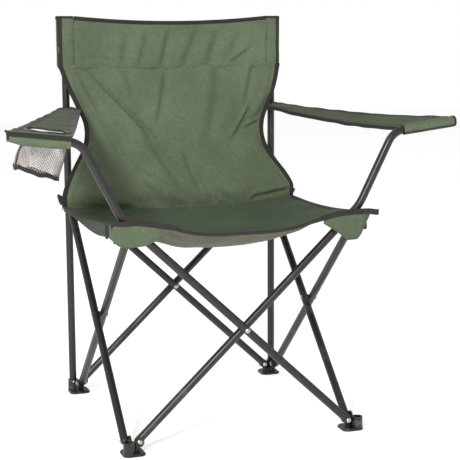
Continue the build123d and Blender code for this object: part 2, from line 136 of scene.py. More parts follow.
@dataclass
class Recipe:
    """A material while its nodes are laid out: its shader and its place in space."""

    material: bpy.types.Material
    shader: bpy.types.Node
    place: bpy.types.NodeSocket

    def node(self, kind: str, inputs: dict, **settings) -> bpy.types.NodeSocket:
        """Add a shader node of a kind, and give its first output."""
        return add_node(self.material.node_tree, f"ShaderNode{kind}", inputs, **settings).outputs[0]

    def noise(self, scale: float, detail: float, roughness: float = 0.5) -> bpy.types.NodeSocket:
        """Add noise with that many features to the metre."""
        return self.node(
            "TexNoise", {"Vector": self.place, "Scale": scale, "Detail": detail, "Roughness": roughness}
        )

    def bands(self, spacing_mm: float, direction: str, **inputs: float) -> bpy.types.NodeSocket:
        """Add threads or ribs that lie that far apart."""
        return add_node(
            self.material.node_tree,
            "ShaderNodeTexWave",
            {"Vector": self.place, "Scale": band_scale(spacing_mm), **inputs},
            wave_type="BANDS",
            bands_direction=direction,
        ).outputs["Fac"]

    def combine(self, operation: str, *values: bpy.types.NodeSocket) -> bpy.types.NodeSocket:
        """Combine two values."""
        return self.node("Math", dict(enumerate(values)), operation=operation)

    def spread(
        self, value: bpy.types.NodeSocket, low: float, high: float, to: Pair = (0.0, 1.0)
    ) -> bpy.types.NodeSocket:
        """Stretch a range of a value over another range."""
        return self.node("MapRange", {0: value, 1: low, 2: high, 3: to[0], 4: to[1]})

    def blend(self, share: bpy.types.NodeSocket, first: str, second: str) -> None:
        """Colour the shader between two hex colours."""
        mix = add_node(
            self.material.node_tree,
            "ShaderNodeMix",
            {0: share, 6: linear(first), 7: linear(second)},
            data_type="RGBA",
        )
        self.feed("Base Color", mix.outputs[2])

    def feed(self, socket: str, value: bpy.types.NodeSocket) -> None:
        """Link a value to a socket of the shader."""
        self.material.node_tree.links.new(value, self.shader.inputs[socket])

    def relief(self, height: bpy.types.NodeSocket, strength: float, depth_mm: float) -> None:
        """Raise the surface by a pattern."""
        inputs = {"Strength": strength, "Distance": depth_mm * MM, "Height": height}
        self.feed("Normal", self.node("Bump", inputs))


@dataclass(frozen=True)
class Finish:
    """What every finish shares: its name, and the numbers on the shader's own sockets."""

    name: str
    colour: str
    roughness: float
    metallic: float = 0.0
    ior: float = 1.5

    def start(self) -> Recipe:
        """Make the material with its shader and its coordinates."""
        material = bpy.data.materials.new(self.name)
        material.use_nodes = True
        tree = material.node_tree
        tree.nodes.clear()
        numbers = {"Roughness": self.roughness, "Metallic": self.metallic, "IOR": self.ior}
        shader = add_node(
            tree, "ShaderNodeBsdfPrincipled", {"Base Color": linear(self.colour), **numbers}
        )
        add_node(tree, "ShaderNodeOutputMaterial", {"Surface": shader.outputs["BSDF"]})
        coordinates = add_node(tree, "ShaderNodeTexCoord", {})
        material.diffuse_color = linear(self.colour)
        return Recipe(material, shader, coordinates.outputs["Object"])


@dataclass(frozen=True)
class WovenPolyester(Finish):
    """Plain woven polyester cloth, piece dyed, with a matte and slightly uneven face."""

    shade: str = "#3c4634"
    light: str = "#8a957c"
    warp: Axis = Axis.X
    weft: Axis = Axis.Z
    # Threads lie 0.5 mm apart, too fine to show, so the weave is drawn 2.2 mm apart.
    thread_mm: float = 2.2
    weave: float = 0.10
    mottle: float = 0.42

    def build(self) -> bpy.types.Material:
        """Build the cloth: crossed threads, heathered flecks and broad uneven dyeing."""
        recipe = self.start()
        threads = [
            recipe.bands(self.thread_mm, axis.value, Distortion=0.6, Detail=1.0)
            for axis in (self.warp, self.weft)
        ]
        crossing = recipe.combine("MULTIPLY", *threads)
        # Flecks of about 4 mm are the heather that the eye sees in a piece-dyed yarn.
        fleck = recipe.noise(210.0, 4.0, 0.7)
        # Clouds of about 120 mm are where the dye and the folds of storage leave it uneven.
        cloud = recipe.noise(8.5, 3.0, 0.55)
        uneven = recipe.node("Mix", {0: self.mottle, 2: fleck, 3: cloud}, data_type="FLOAT")
        dye = add_node(
            recipe.material.node_tree, "ShaderNodeValToRGB", {0: recipe.spread(uneven, 0.30, 0.70)}
        )
        stops = dye.color_ramp.elements
        stops[0].color, stops[1].color = linear(self.shade), linear(self.light)
        stops.new(0.5).color = linear(self.colour)
        weave = recipe.node("Mix", {0: crossing, 2: 1 - self.weave, 3: 1 + self.weave}, data_type="FLOAT")
        dyed = recipe.node("VectorMath", {0: dye.outputs["Color"], 1: weave}, operation="MULTIPLY")
        recipe.feed("Base Color", dyed)
        recipe.relief(recipe.combine("ADD", crossing, fleck), 0.28, 0.4)
        for socket, value in (("Sheen Weight", 0.04), ("Sheen Roughness", 0.5), ("Specular IOR Level", 0.25)):
            recipe.shader.inputs[socket].default_value = value
        return recipe.material


@dataclass(frozen=True)
class PolyesterTape(Finish):
    """Woven polyester binding tape, which shows fine ribs across its run and a dull black."""

    # The ribs are 1 mm apart, drawn 2.4 mm apart so that they show.
    rib_mm: float = 2.4
    dust: str = "#2e2b28"

    def build(self) -> bpy.types.Material:
        """Build the tape: crossed ribs and dusty, worn patches."""
        recipe = self.start()
        ribs = [recipe.bands(self.rib_mm, run, Distortion=0.4) for run in ("X", "DIAGONAL")]
        recipe.blend(recipe.noise(60.0, 5.0), self.colour, self.dust)
        recipe.relief(recipe.combine("MULTIPLY", *ribs), 0.4, 0.4)
        recipe.shader.inputs["Sheen Weight"].default_value = 0.1
        recipe.shader.inputs["Specular IOR Level"].default_value = 0.3
        return recipe.material


@dataclass(frozen=True)
class PowderCoat(Finish):
    """Powder-coated steel tube, baked on, which leaves a satin black with a fine orange peel."""

    peel_mm: float = 1.6
    chips: str = "#4c4843"

    def build(self) -> bpy.types.Material:
        """Build the coat: orange peel, rubbed patches and an uneven gloss."""
        recipe = self.start()
        peel = recipe.noise(1 / (self.peel_mm * MM), 1.0)
        # Rubbed patches are about 40 mm across, where hands and floors reach the tube.
        rub = recipe.noise(24.0, 6.0, 0.65)
        recipe.blend(recipe.spread(rub, 0.58, 0.78), self.colour, self.chips)
        gloss = (self.roughness - 0.06, self.roughness + 0.16)
        recipe.feed("Roughness", recipe.spread(rub, 0.3, 0.8, gloss))
        recipe.relief(peel, 0.10, 0.2)
        return recipe.material


@dataclass(frozen=True)
class MouldedNylon(Finish):
    """Injection-moulded nylon with a spark-eroded grain, which scuffs grey where it is handled."""

    grain_mm: float = 1.1
    scuff: str = "#57524b"

    def build(self) -> bpy.types.Material:
        """Build the moulding: grain and scuffs of about 14 mm."""
        recipe = self.start()
        grain = recipe.node(
            "TexVoronoi", {"Vector": recipe.place, "Scale": 1 / (self.grain_mm * MM)}, feature="F1"
        )
        recipe.blend(recipe.spread(recipe.noise(70.0, 5.0), 0.50, 0.75), self.colour, self.scuff)
        recipe.relief(grain, 0.15, 0.2)
        return recipe.material


@dataclass(frozen=True)
class ZincPlate(Finish):
    """Bright zinc plate on a headed steel rivet, which shows fine turning and a little tarnish."""

    tarnish: str = "#6f6b64"

    def build(self) -> bpy.types.Material:
        """Build the plate: tarnish in blots of about 2 mm, and faint scratches."""
        recipe = self.start()
        blots = recipe.noise(420.0, 4.0)
        recipe.blend(recipe.spread(blots, 0.45, 0.75), self.colour, self.tarnish)
        recipe.relief(blots, 0.08, 0.1)
        return recipe.material


@dataclass(frozen=True)
class SpunYarn(Finish):
    """Spun polyester thread, as in the stitching and the knotted net, with a fuzzy, matte face."""

    twist_mm: float = 0.8

    def build(self) -> bpy.types.Material:
        """Build the yarn: its twist and its lighter fuzz."""
        recipe = self.start()
        twist = recipe.noise(1 / (self.twist_mm * MM), 2.0)
        tone = recipe.spread(twist, 0.3, 0.7, (0.75, 1.2))
        yarn = recipe.node("VectorMath", {0: linear(self.colour)[:3], 1: tone}, operation="MULTIPLY")
        recipe.feed("Base Color", yarn)
        recipe.relief(twist, 0.3, 0.2)
        return recipe.material


@dataclass(frozen=True)
class PaintedBoard(Finish):
    """White painted board for the floor, with a matte and almost even face."""

    name: str = "painted_board"
    colour: str = "#f4f4f4"
    roughness: float = 0.9
    thick: str = "#f7f7f7"
    thin: str = "#f1f1f1"
    glow: float = 0.4  # keeps the floor as bright as the backdrop

    def build(self) -> bpy.types.Material:
        """Build the board, with a barely seen unevenness of the paint, 700 mm across."""
        recipe = self.start()
        recipe.blend(recipe.noise(1.4, 2.0), self.thick, self.thin)
        recipe.shader.inputs["Emission Color"].default_value = linear("#ffffff")
        recipe.shader.inputs["Emission Strength"].default_value = self.glow
        return recipe.material


@dataclass
class Finishes:
    """Every finish of the chair, built once."""

    back: bpy.types.Material = field(init=False)
    seat: bpy.types.Material = field(init=False)
    underside: bpy.types.Material = field(init=False)
    pocket: bpy.types.Material = field(init=False)
    armrest: bpy.types.Material = field(init=False)
    flap: bpy.types.Material = field(init=False)
    tape: bpy.types.Material = field(init=False)
    tube: bpy.types.Material = field(init=False)
    moulding: bpy.types.Material = field(init=False)
    plug: bpy.types.Material = field(init=False)
    rivet: bpy.types.Material = field(init=False)
    ring: bpy.types.Material = field(init=False)
    thread: bpy.types.Material = field(init=False)
    net: bpy.types.Material = field(init=False)

    def __post_init__(self) -> None:
        """Build the materials from their finishes."""
        # The back, seat, pocket, armrest and flap are one green cloth, and their base colours differ by
        # painted light and shade: the seat and the armrests are painted darker, as painted shade, and the
        # back, the pockets and the flaps lighter, as painted light, by how each piece is lit. The underside's
        # olive colour is the cloth's own coating.
        self.back = WovenPolyester("back_cloth", "#5b6650", 0.86, shade="#4d5842", light="#6b765c").build()
        self.seat = WovenPolyester(
            "seat_cloth", "#445240", 0.86, shade="#394636", light="#52604b", weft=Axis.Y
        ).build()
        self.underside = WovenPolyester(
            "coated_underside", "#595844", 0.7, shade="#4e4d3b", light="#656450", weft=Axis.Y
        ).build()
        self.pocket = WovenPolyester(
            "pocket_cloth", "#535e49", 0.86, shade="#48523f", light="#5f6b55"
        ).build()
        self.armrest = WovenPolyester(
            "armrest_cloth", "#424d37", 0.86, shade="#37412e", light="#4e5943", weft=Axis.Y
        ).build()
        self.flap = WovenPolyester("flap_cloth", "#58644d", 0.86, shade="#4c5742", light="#65715a").build()
        self.tape = PolyesterTape("binding_tape", "#1e1c1a", 0.8).build()
        self.tube = PowderCoat("powder_coated_tube", "#1b1918", 0.34).build()
        self.moulding = MouldedNylon("moulded_nylon", "#181614", 0.42).build()
        self.plug = MouldedNylon("plug_nylon", "#1d1c1a", 0.5).build()
        self.rivet = ZincPlate("zinc_plate", "#c9c7c2", 0.3, metallic=1.0).build()
        self.ring = MouldedNylon("cup_ring_nylon", "#1a1918", 0.42).build()
        self.thread = SpunYarn("sewing_thread", "#4a5441", 0.8).build()
        self.net = SpunYarn("net_yarn", "#a0978f", 0.75).build()


# ------------------------------------------------------------- mesh makers


@dataclass
class Shape:
    """Points in millimetres and the faces between them, gathered part by part."""

    points: list[Sequence[float]] = field(default_factory=list)
    faces: list[tuple[int, ...]] = field(default_factory=list)
    slots: list[int] = field(default_factory=list)
    normals: list[Sequence[float]] = field(default_factory=list)

    def add(self, points: Sequence, faces: Sequence) -> None:
        """Add a closed part in the first finish.

        Args:
            points: Its points.
            faces: Its faces, counted from its own first point.
        """
        first = len(self.points)
        self.points.extend(points)
        self.faces.extend(tuple(first + i for i in f) for f in faces)
        self.slots.extend([0] * len(faces))

    def build(self, name: str, *materials: bpy.types.Material, sharp: float = 50.0) -> bpy.types.Object:
        """Make the mesh object.

        Args:
            name: The piece's name.
            *materials: The finishes, in the order of the slots.
            sharp: The angle in degrees from which an edge is sharp.

        Returns:
            The object, at the frame's origin.
        """
        mesh = bpy.data.meshes.new(name)
        mesh.from_pydata([tuple(np.asarray(p, float) * MM) for p in self.points], [], self.faces)
        for material in materials:
            mesh.materials.append(material)
        mesh.polygons.foreach_set("material_index", self.slots)
        mesh.polygons.foreach_set("use_smooth", [True] * len(mesh.polygons))
        mesh.update()
        if self.normals:
            mesh.normals_split_custom_set_from_vertices([tuple(n) for n in self.normals])
        else:
            mesh.set_sharp_from_angle(angle=math.radians(sharp))
        obj = bpy.data.objects.new(name, mesh)
        bpy.context.scene.collection.objects.link(obj)
        return obj


def unit(vectors: np.ndarray) -> np.ndarray:
    """Each vector, along the last axis, at length one."""
    return vectors / np.maximum(np.linalg.norm(vectors, axis=-1, keepdims=True), 1e-9)


def ease(value: np.ndarray | float) -> np.ndarray | float:
    """A smooth step from nought to one."""
    t = np.clip(value, 0.0, 1.0)
    return t * t * (3 - 2 * t)


def curve(stations: Sequence[Sequence[float]], at: float) -> np.ndarray:
    """Read a smooth curve through stations.

    Args:
        stations: Rows of a growing key and its values.
        at: The key to read at.

    Returns:
        The values there.
    """
    table = np.asarray(stations, float)
    keys, values = table[:, 0], table[:, 1:]
    k = int(np.clip(np.searchsorted(keys, at) - 1, 0, len(keys) - 2))
    t = (at - keys[k]) / (keys[k + 1] - keys[k])
    slope = np.gradient(values, keys, axis=0) * (keys[k + 1] - keys[k])
    h00, h10, h01, h11 = 2 * t**3 - 3 * t**2 + 1, t**3 - 2 * t**2 + t, 3 * t**2 - 2 * t**3, t**3 - t**2
    return h00 * values[k] + h10 * slope[k] + h01 * values[k + 1] + h11 * slope[k + 1]


def surface(rows: int, columns: int, at: Callable[[float, float], Sequence[float]]) -> Grid:
    """Sample a surface on a grid.

    Args:
        rows: The number of rows, along v.
        columns: The number of columns, along u.
        at: The point for u and v, each from nought to one.

    Returns:
        An array of rows, columns and coordinates, in millimetres.
    """
    across, up = range(columns), range(rows)
    return np.array([[at(c / (columns - 1), r / (rows - 1)) for c in across] for r in up], float)


def facing(points: Grid) -> Grid:
    """The unit normals of a grid of points."""
    along = np.gradient(points, axis=1)
    up = np.gradient(points, axis=0)
    return unit(np.cross(along, up))


@dataclass(frozen=True)
class Crease:
    """A fold that runs between two places on a sheet, with a ridge beside its valley."""

    start: Pair
    end: Pair
    width: float
    depth: float
    lee: float = 1.0  # How much wider the ridge's side is than the other.

    def at(self, a: float, b: float) -> float:
        """How far the fold moves the sheet out at a place on it."""
        ax, bx = self.end[0] - self.start[0], self.end[1] - self.start[1]
        long = math.hypot(ax, bx)
        t = ((a - self.start[0]) * ax + (b - self.start[1]) * bx) / long**2
        off = ((a - self.start[0]) * bx - (b - self.start[1]) * ax) / long / self.width
        if not -0.25 < t < 1.25 or abs(off) > 5 * self.lee:
            return 0.0
        off /= self.lee if off > 0 else 1.0
        fade = float(ease((t + 0.25) / 0.5) * ease((1.25 - t) / 0.5))
        return self.depth * fade * (0.7 * math.exp(-((off - 1.1) ** 2)) - math.exp(-(off**2)))


def rumple(a: float, b: float, size: float, depth: float) -> float:
    """A gentle unevenness of slack cloth: a few crossed waves of about that size."""
    p, q = 2 * math.pi * a / size, 2 * math.pi * b / size
    waves = math.sin(p + 0.6 * math.sin(0.7 * q)) * math.cos(0.8 * q + 0.4)
    waves += 0.6 * math.sin(0.53 * p - 1.3 * q + 1.1) + 0.45 * math.sin(1.9 * p + 0.8 * q + 2.3)
    return depth * waves / 2


@dataclass
class Cloth:
    """A sheet of cloth on a grid of points, in millimetres, with its face to the grid's normals."""

    name: str
    points: Grid
    thick: float = 1.2
    hole: Callable[[np.ndarray], bool] | None = None
    snap: Callable[[np.ndarray], np.ndarray] | None = None  # given wherever a hole is
    upward: Grid | None = None

    def normals(self) -> Grid:
        """The sheet's unit normals, its neighbours' included where they were given."""
        return facing(self.points) if self.upward is None else self.upward

    def shape(self) -> Shape:
        """Give the sheet its two faces and its rim.

        Returns:
            A closed shape: slot 0 is the face, slot 1 the back and the rim.
        """
        points, normals = self.points.copy(), self.normals()
        rows, columns, _ = points.shape
        kept = np.ones((rows - 1, columns - 1), bool)
        if self.hole:
            middles = (points[:-1, :-1] + points[1:, :-1] + points[:-1, 1:] + points[1:, 1:]) / 4
            kept = np.array([[not self.hole(m) for m in line] for line in middles])
            touched, cleared = np.zeros((rows, columns), bool), np.zeros((rows, columns), bool)
            for r, c in np.ndindex(kept.shape):
                (touched if kept[r, c] else cleared)[r : r + 2, c : c + 2] = True
            for r, c in zip(*np.nonzero(touched & cleared)):
                points[r, c] = self.snap(points[r, c])
        half = normals * self.thick / 2
        front, back = points + half, points - half
        number = np.arange(rows * columns).reshape(rows, columns)
        shape, later = Shape(), rows * columns
        shape.points = list(front.reshape(-1, 3)) + list(back.reshape(-1, 3))
        shape.normals = list(normals.reshape(-1, 3)) + list(-normals.reshape(-1, 3))
        edges: list[tuple[int, int]] = []
        for r, c in zip(*np.nonzero(kept)):
            loop = (number[r, c], number[r, c + 1], number[r + 1, c + 1], number[r + 1, c])
            loop = tuple(int(i) for i in loop)
            shape.faces += [loop, tuple(i + later for i in reversed(loop))]
            shape.slots += [0, 1]
            edges.extend(zip(loop, loop[1:] + loop[:1]))
        known = set(edges)
        for a, b in edges:
            if (b, a) not in known:
                shape.faces.append((b, a, a + later, b + later))
                shape.slots.append(1)
        used = sorted({i for f in shape.faces for i in f})
        renumber = {old: new for new, old in enumerate(used)}
        shape.points = [shape.points[i] for i in used]
        shape.normals = [shape.normals[i] for i in used]
        shape.faces = [tuple(renumber[i] for i in f) for f in shape.faces]
        return shape

    def flat(self) -> tuple[Pair, float]:
        """Work out the size the sheet was cut to, from its developed lengths.

        Returns:
            Its width and length, and its area, in metres and square metres.
        """
        across = np.linalg.norm(np.diff(self.points, axis=1), axis=2).sum(axis=1).max() * MM
        along = np.linalg.norm(np.diff(self.points, axis=0), axis=2).sum(axis=0).max() * MM
        a = np.diff(self.points, axis=1)[:-1]
        b = np.diff(self.points, axis=0)[:, :-1]
        area = float(np.linalg.norm(np.cross(a, b), axis=2).sum()) * MM * MM
        return (float(across), float(along)), float(np.clip(area, 0.31 * across * along, across * along))

    def build(self, face: bpy.types.Material, reverse: bpy.types.Material) -> bpy.types.Object:
        """Make the sheet's object, with a finish for its face and one for its back."""
        return self.shape().build(self.name, face, reverse)

    def edge(self, which: Edge, start: float = 0.0, end: float = 1.0) -> tuple[Grid, Grid, Grid]:
        """Read one edge of the sheet.

        Args:
            which: The edge.
            start: Where along it to begin, from nought to one.
            end: Where to stop.

        Returns:
            Its points, the directions into the sheet, and the normals.
        """
        points, normals = self.points, self.normals()
        if which in (Edge.FIRST_COLUMN, Edge.LAST_COLUMN):
            points, normals = points.transpose(1, 0, 2), normals.transpose(1, 0, 2)
        if which in (Edge.LAST_ROW, Edge.LAST_COLUMN):
            points, normals = points[::-1], normals[::-1]
        low, high = round(start * (points.shape[1] - 1)), round(end * (points.shape[1] - 1))
        line, inner = points[0, low : high + 1], points[1, low : high + 1]
        up = normals[0, low : high + 1]
        along = np.gradient(line, axis=0)
        into = unit(inner - line)
        into = unit(into - unit(along) * (into * unit(along)).sum(axis=1, keepdims=True))
        return line, into, up


def oval(
    centre: np.ndarray,
    across: np.ndarray,
    up: np.ndarray,
    width: float,
    thick: float,
    square: Pair = (0.45, 0.8),
    sides: int = 12,
) -> np.ndarray:
    """Points round a flat section.

    Args:
        centre: Its middle.
        across: The direction of its width.
        up: The direction of its thickness.
        width: Its width.
        thick: Its thickness.
        square: How square its ends and its faces are, from nought for a box to one for an ellipse.
        sides: The number of points.

    Returns:
        The points, in order.
    """
    angles = np.linspace(0, 2 * math.pi, sides + 1)[:-1]
    side = np.sign(np.cos(angles)) * np.abs(np.cos(angles)) ** square[0] * width / 2
    rise = np.sign(np.sin(angles)) * np.abs(np.sin(angles)) ** square[1] * thick / 2
    return centre + np.outer(side, across) + np.outer(rise, up)


def tape(
    shape: Shape, path: Grid, across: Grid, up: Grid, width: float | Sequence[float], thick: float
) -> None:
    """Add a flat tape with soft edges and closed ends along a path.

    Args:
        shape: The shape that takes it.
        path: Its middle line.
        across: The directions of its width.
        up: The directions of its thickness.
        width: Its width, or its width at each point.
        thick: Its thickness.
    """
    widths = np.broadcast_to(width, len(path))
    sweep(shape, [oval(p, a, u, w, thick) for p, a, u, w in zip(path, across, up, widths)])


def sweep(shape: Shape, rings: Sequence[np.ndarray]) -> None:
    """Add a closed tube through rings of points, each with as many points as the others."""
    count = len(rings[0])
    faces = [
        (r * count + i, r * count + (i + 1) % count, (r + 1) * count + (i + 1) % count, (r + 1) * count + i)
        for r in range(len(rings) - 1)
        for i in range(count)
    ]
    faces.append(tuple(reversed(range(count))))
    faces.append(tuple((len(rings) - 1) * count + i for i in range(count)))
    points = np.concatenate(rings)
    # The rings may run either way round, so the faces are turned if they would look inwards.
    volume = sum(
        float(np.dot(points[f[0]] - points[0], np.cross(points[f[1]] - points[0], points[f[2]] - points[0])))
        for f in (*faces, *((f[0], f[2], f[3]) for f in faces if len(f) == 4))
    )
    if volume < 0:
        faces = [tuple(reversed(f)) for f in faces]
    shape.add(list(points), faces)


def strand(shape: Shape, path: Grid, radius: float, sides: int = 4) -> None:
    """Add a round strand along a path."""
    along = unit(np.gradient(path, axis=0))
    lead = np.tile(np.array([0.31, 0.17, 0.93]), (len(path), 1))
    first = unit(np.cross(along, lead))
    second = np.cross(along, first)
    angles = np.linspace(0, 2 * math.pi, sides + 1)[:-1]
    rings = [
        p + radius * (np.outer(np.cos(angles), f) + np.outer(np.sin(angles), s))
        for p, f, s in zip(path, first, second)
    ]
    sweep(shape, rings)


def resample(path: Grid, step: float) -> Grid:
    """Points along a path that are evenly spaced by about that step."""
    lengths = np.concatenate([[0], np.cumsum(np.linalg.norm(np.diff(path, axis=0), axis=1))])
    count = max(2, round(lengths[-1] / step) + 1)
    marks = np.linspace(0, lengths[-1], count)
    return np.stack([np.interp(marks, lengths, path[:, i]) for i in range(3)], axis=1)


def stitches(
    shape: Shape, path: Grid, lift: Grid, pitch: float = 5.2, radius: float = 0.42, gap: float = 0.14
) -> None:
    """Add a row of lockstitches along a line on cloth.

    Args:
        shape: The shape that takes them.
        path: The line, on the cloth's middle surface.
        lift: How far and which way each point of the line is moved to lie on the cloth.
        pitch: From one stitch to the next. Real ones are 3 mm, drawn longer so that they show.
        radius: The thread's radius.
        gap: The share of the pitch that is bare at each end of a stitch.
    """
    line = resample(path + lift, pitch)
    for a, b in zip(line[:-1], line[1:]):
        low, high = a + (b - a) * gap, a + (b - a) * (1 - gap)
        middle = np.linspace(0, 1, 4)[:, None]
        strand(shape, low + (high - low) * middle, radius, sides=5)


@dataclass(frozen=True)
class Motion:
    """How a soft piece moves: the body it rides on, and how it crumples as the frame closes."""

    body: str
    joint: str = "fold"
    axis: Triple | None = None
    anchor: Triple = (0.0, 0.0, 0.0)
    keep: float = 1.0

    def carry(self, piece: bpy.types.Object, slot: str) -> bpy.types.Object:
        """Fix a piece to the body, and give a piece with a crumple axis its own copy of its mesh.

        Args:
            piece: The finished piece.
            slot: The record's material slot; not used.

        Returns:
            The same piece.
        """
        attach(piece, self.body)
        if self.axis:
            anchor = tuple(v * MM for v in self.anchor)
            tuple(self.axis)
            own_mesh(piece)
        LOG.info("%s rides on %s", piece.name, self.body)
        return piece


@dataclass
class Part:
    """What every sub-assembly of the chair shares: its finishes and a few dressing methods."""

    finishes: Finishes

    def declare(self, cloth: Cloth, piece: bpy.types.Object, held: str, rests: Sequence[str]) -> None:
        """Work out the size that a sheet of cloth was cut to, and its area."""
        size, area = cloth.flat()
        list(rests)

    def bind(self, shape: Shape, cloth: Cloth, which: Edge, width: float = 10.0, **part: float) -> None:
        """Fold a binding tape over one edge of a sheet.

        Args:
            shape: The shape that takes the tape.
            cloth: The sheet.
            which: Its edge.
            width: The width of tape on each face.
            **part: Where along the edge the tape starts and ends.
        """
        line, into, up = cloth.edge(which, **part)
        tape(shape, line + into * (width / 2 - 1.4), into, up, width, cloth.thick + 2.2)


# ------------------------------------------------------------ sub-assemblies


CRUMPLE_X: Triple = (1.0, 0.0, 0.0)


@dataclass
class Back(Part):
    """The back: a top band between two sleeves on the uprights, and the slung panel below it."""

    stitch_x: float = 222.0
    band_low: float = 729.0
    top_edge: Pair = (836.0, 11.0)  # height at its ends, and its sag
    seam_z: float = 430.0
    seam_sag: float = 14.0
    # Height of the side edge, half the width there, and its depth.
    sides: tuple[Triple, ...] = (
        (430.0, 268.0, 172.0),
        (459.0, 266.5, 172.0),
        (480.0, 257.0, 181.0),
        (516.0, 234.0, 198.0),
        (551.0, 214.0, 205.0),
        (579.0, 207.5, 206.0),
        (605.0, 209.5, 206.0),
        (650.0, 228.5, 209.0),
        (690.0, 245.0, 218.0),
        (729.0, 257.0, 229.5),
    )
    folds: tuple[Crease, ...] = (
        Crease((-183.0, 708.5), (-61.0, 583.0), 6.0, 6.5),
        Crease((-88.0, 615.0), (7.0, 468.5), 14.0, 9.0),
        Crease((-209.0, 640.0), (-33.0, 407.0), 19.0, 17.0, lee=3.0),
        Crease((-214.0, 713.0), (-130.0, 545.5), 9.0, 4.5),
        Crease((-85.0, 504.0), (2.5, 457.5), 8.0, 4.5),
        Crease((15.0, 540.0), (47.5, 448.5), 8.0, 5.5),
        Crease((109.0, 723.5), (79.5, 587.5), 17.0, 7.0),
        Crease((-15.0, 719.0), (-42.0, 613.5), 9.0, 5.0),
        Crease((193.0, 729.0), (166.5, 648.5), 8.0, 5.5),
        Crease((176.0, 635.0), (137.0, 572.5), 6.0, 7.0),
        Crease((205.0, 604.5), (161.0, 587.5), 5.0, 5.0),
        Crease((240.0, 669.0), (190.0, 606.5), 11.0, 6.5),
        Crease((195.5, 561.5), (224.5, 514.5), 6.0, 4.0),
        Crease((262.0, 447.0), (175.5, 438.0), 7.0, 6.5),
        Crease((180.5, 442.0), (151.0, 406.5), 7.0, 5.0),
        Crease((88.0, 455.5), (146.0, 411.5), 8.0, 5.0),
        Crease((45.5, 498.5), (87.5, 410.0), 11.0, 5.0),
        Crease((-109.0, 720.0), (-96.5, 665.5), 10.0, 3.0),
        Crease((-182.0, 446.0), (-132.5, 421.0), 8.0, 4.0),
        Crease((-210.5, 487.0), (-150.0, 457.5), 12.0, 5.5),
        Crease((-154.0, 502.5), (-86.5, 419.0), 12.0, 4.0),
    )
    band_folds: tuple[Crease, ...] = (
        Crease((-216.0, 808.0), (-196.0, 798.0), 4.0, 3.0),
        Crease((-101.0, 792.0), (-111.5, 729.0), 13.0, 4.0),
        Crease((-55.5, 799.0), (-72.5, 730.0), 12.0, 4.5),
        Crease((-7.0, 800.0), (-24.0, 729.0), 9.0, 5.5),
        Crease((61.0, 806.0), (27.5, 730.0), 12.0, 5.5),
        Crease((108.5, 800.0), (84.0, 728.0), 13.0, 5.5),
        Crease((161.0, 799.0), (141.5, 758.0), 12.0, 3.5),
        Crease((183.0, 762.5), (141.5, 734.0), 6.0, 4.5),
        Crease((-192.0, 747.0), (-120.0, 737.5), 5.0, 3.0),
    )
    # The loop of a left sleeve round its upright, from its back to the stitch line at the front.
    loop: tuple[Pair, ...] = (
        (-222.3, 232.0),
        (-226.0, 242.0),
        (-232.0, 249.0),
        (-240.5, 251.3),
        (-249.0, 249.8),
        (-256.0, 244.5),
        (-258.8, 238.0),
        (-255.5, 231.8),
        (-247.0, 229.0),
        (-236.0, 228.6),
        (-229.0, 228.9),
        (-222.0, 229.4),
    )

    def crumple(self) -> Motion:
        """The panel narrows to the gap between the uprights as the frame closes."""
        return Motion("left_post_side", axis=CRUMPLE_X, anchor=(-self.stitch_x, 0.0, 0.0), keep=0.121)

    def panel_point(self, u: float, v: float) -> Triple:
        """A point of the slung panel, u across and v up."""
        s, z = 2 * u - 1, self.seam_z + (self.band_low - self.seam_z) * v
        width, depth = curve(self.sides, z)
        middle = 1 - s * s
        x = s * width
        y = depth - 14.0 * middle * 4 * v * (1 - v) * (1 - v)
        calm = float(ease((1 - abs(s)) / 0.08) * ease(v / 0.05))
        out = sum(fold.at(x, z) for fold in self.folds)
        out += rumple(x, z, 150.0, 2.2) + rumple(z + 40.0, x, 62.0, 0.8)
        pucker = math.exp(-(v * 300) / 14.0) + math.exp(-((1 - v) * 300) / 12.0)
        out = out * calm + 0.5 * pucker * math.sin(x / 3.1 + 0.8 * math.sin(x / 17.0))
        return (x, y - out, z - (self.seam_sag * (1 - v) + 1.5 * v) * middle)

    def band_point(self, u: float, v: float) -> Triple:
        """A point of the top band, u across and v up."""
        s = 2 * u - 1
        x = s * self.stitch_x
        top = self.top_edge[0] - self.top_edge[1] * (1 - s * s)
        low = self.band_low - 5.0 - 1.5 * (1 - s * s)
        z = low + (top - low) * v
        calm = float(ease((1 - abs(s)) / 0.06) * ease((1 - v) / 0.12))
        out = sum(fold.at(x, z) for fold in self.band_folds) + rumple(x, z, 120.0, 1.6)
        pucker = math.exp(-v * 107 / 10.0) * math.sin(x / 3.1 + 0.8 * math.sin(x / 17.0))
        return (x, 228.0 - out * calm - 0.5 * pucker, z)

    def sleeve_point(self, side: Side, u: float, v: float) -> Triple:
        """A point of the sleeve on an upright, u round it and v up."""
        at = (u if side is Side.LEFT else 1 - u) * (len(self.loop) - 1)
        x, y = curve([(i, *p) for i, p in enumerate(self.loop)], at)
        z = self.band_low + (self.top_edge[0] - self.band_low) * v
        pinch = 0.8 * float(ease((z - 830.0) / 6.0))
        ripple = 0.5 * math.sin(z / 9.0 + x / 5.0) * math.sin(math.pi * v)
        return (-side.value * x, y + (238.0 - y) * pinch - ripple, z)

    def build(self) -> None:
        """Build the band, the panel and the sleeves, with their tapes and stitching."""
        cloth, tape_finish = self.finishes.back, self.finishes.tape
        panel = Cloth("back_cloth_panel", surface(130, 150, self.panel_point))
        piece = panel.build(cloth, cloth)
        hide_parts("back_panel")
        self.declare(panel, piece, "hung", ["upright_left", "upright_right"])
        self.crumple().carry(piece, "back_cloth")

        band = Cloth("back_cloth_band", surface(40, 110, self.band_point), thick=1.6)
        piece = band.build(cloth, cloth)
        self.declare(band, piece, "stretched", ["upright_left", "upright_right"])
        self.crumple().carry(piece, "back_cloth")

        tapes = Shape()
        self.bind(tapes, band, Edge.LAST_ROW, 9.0)
        self.bind(tapes, panel, Edge.FIRST_COLUMN, 10.5)
        self.bind(tapes, panel, Edge.LAST_COLUMN, 10.5)
        self.crumple().carry(tapes.build("back_binding", tape_finish), "webbing")

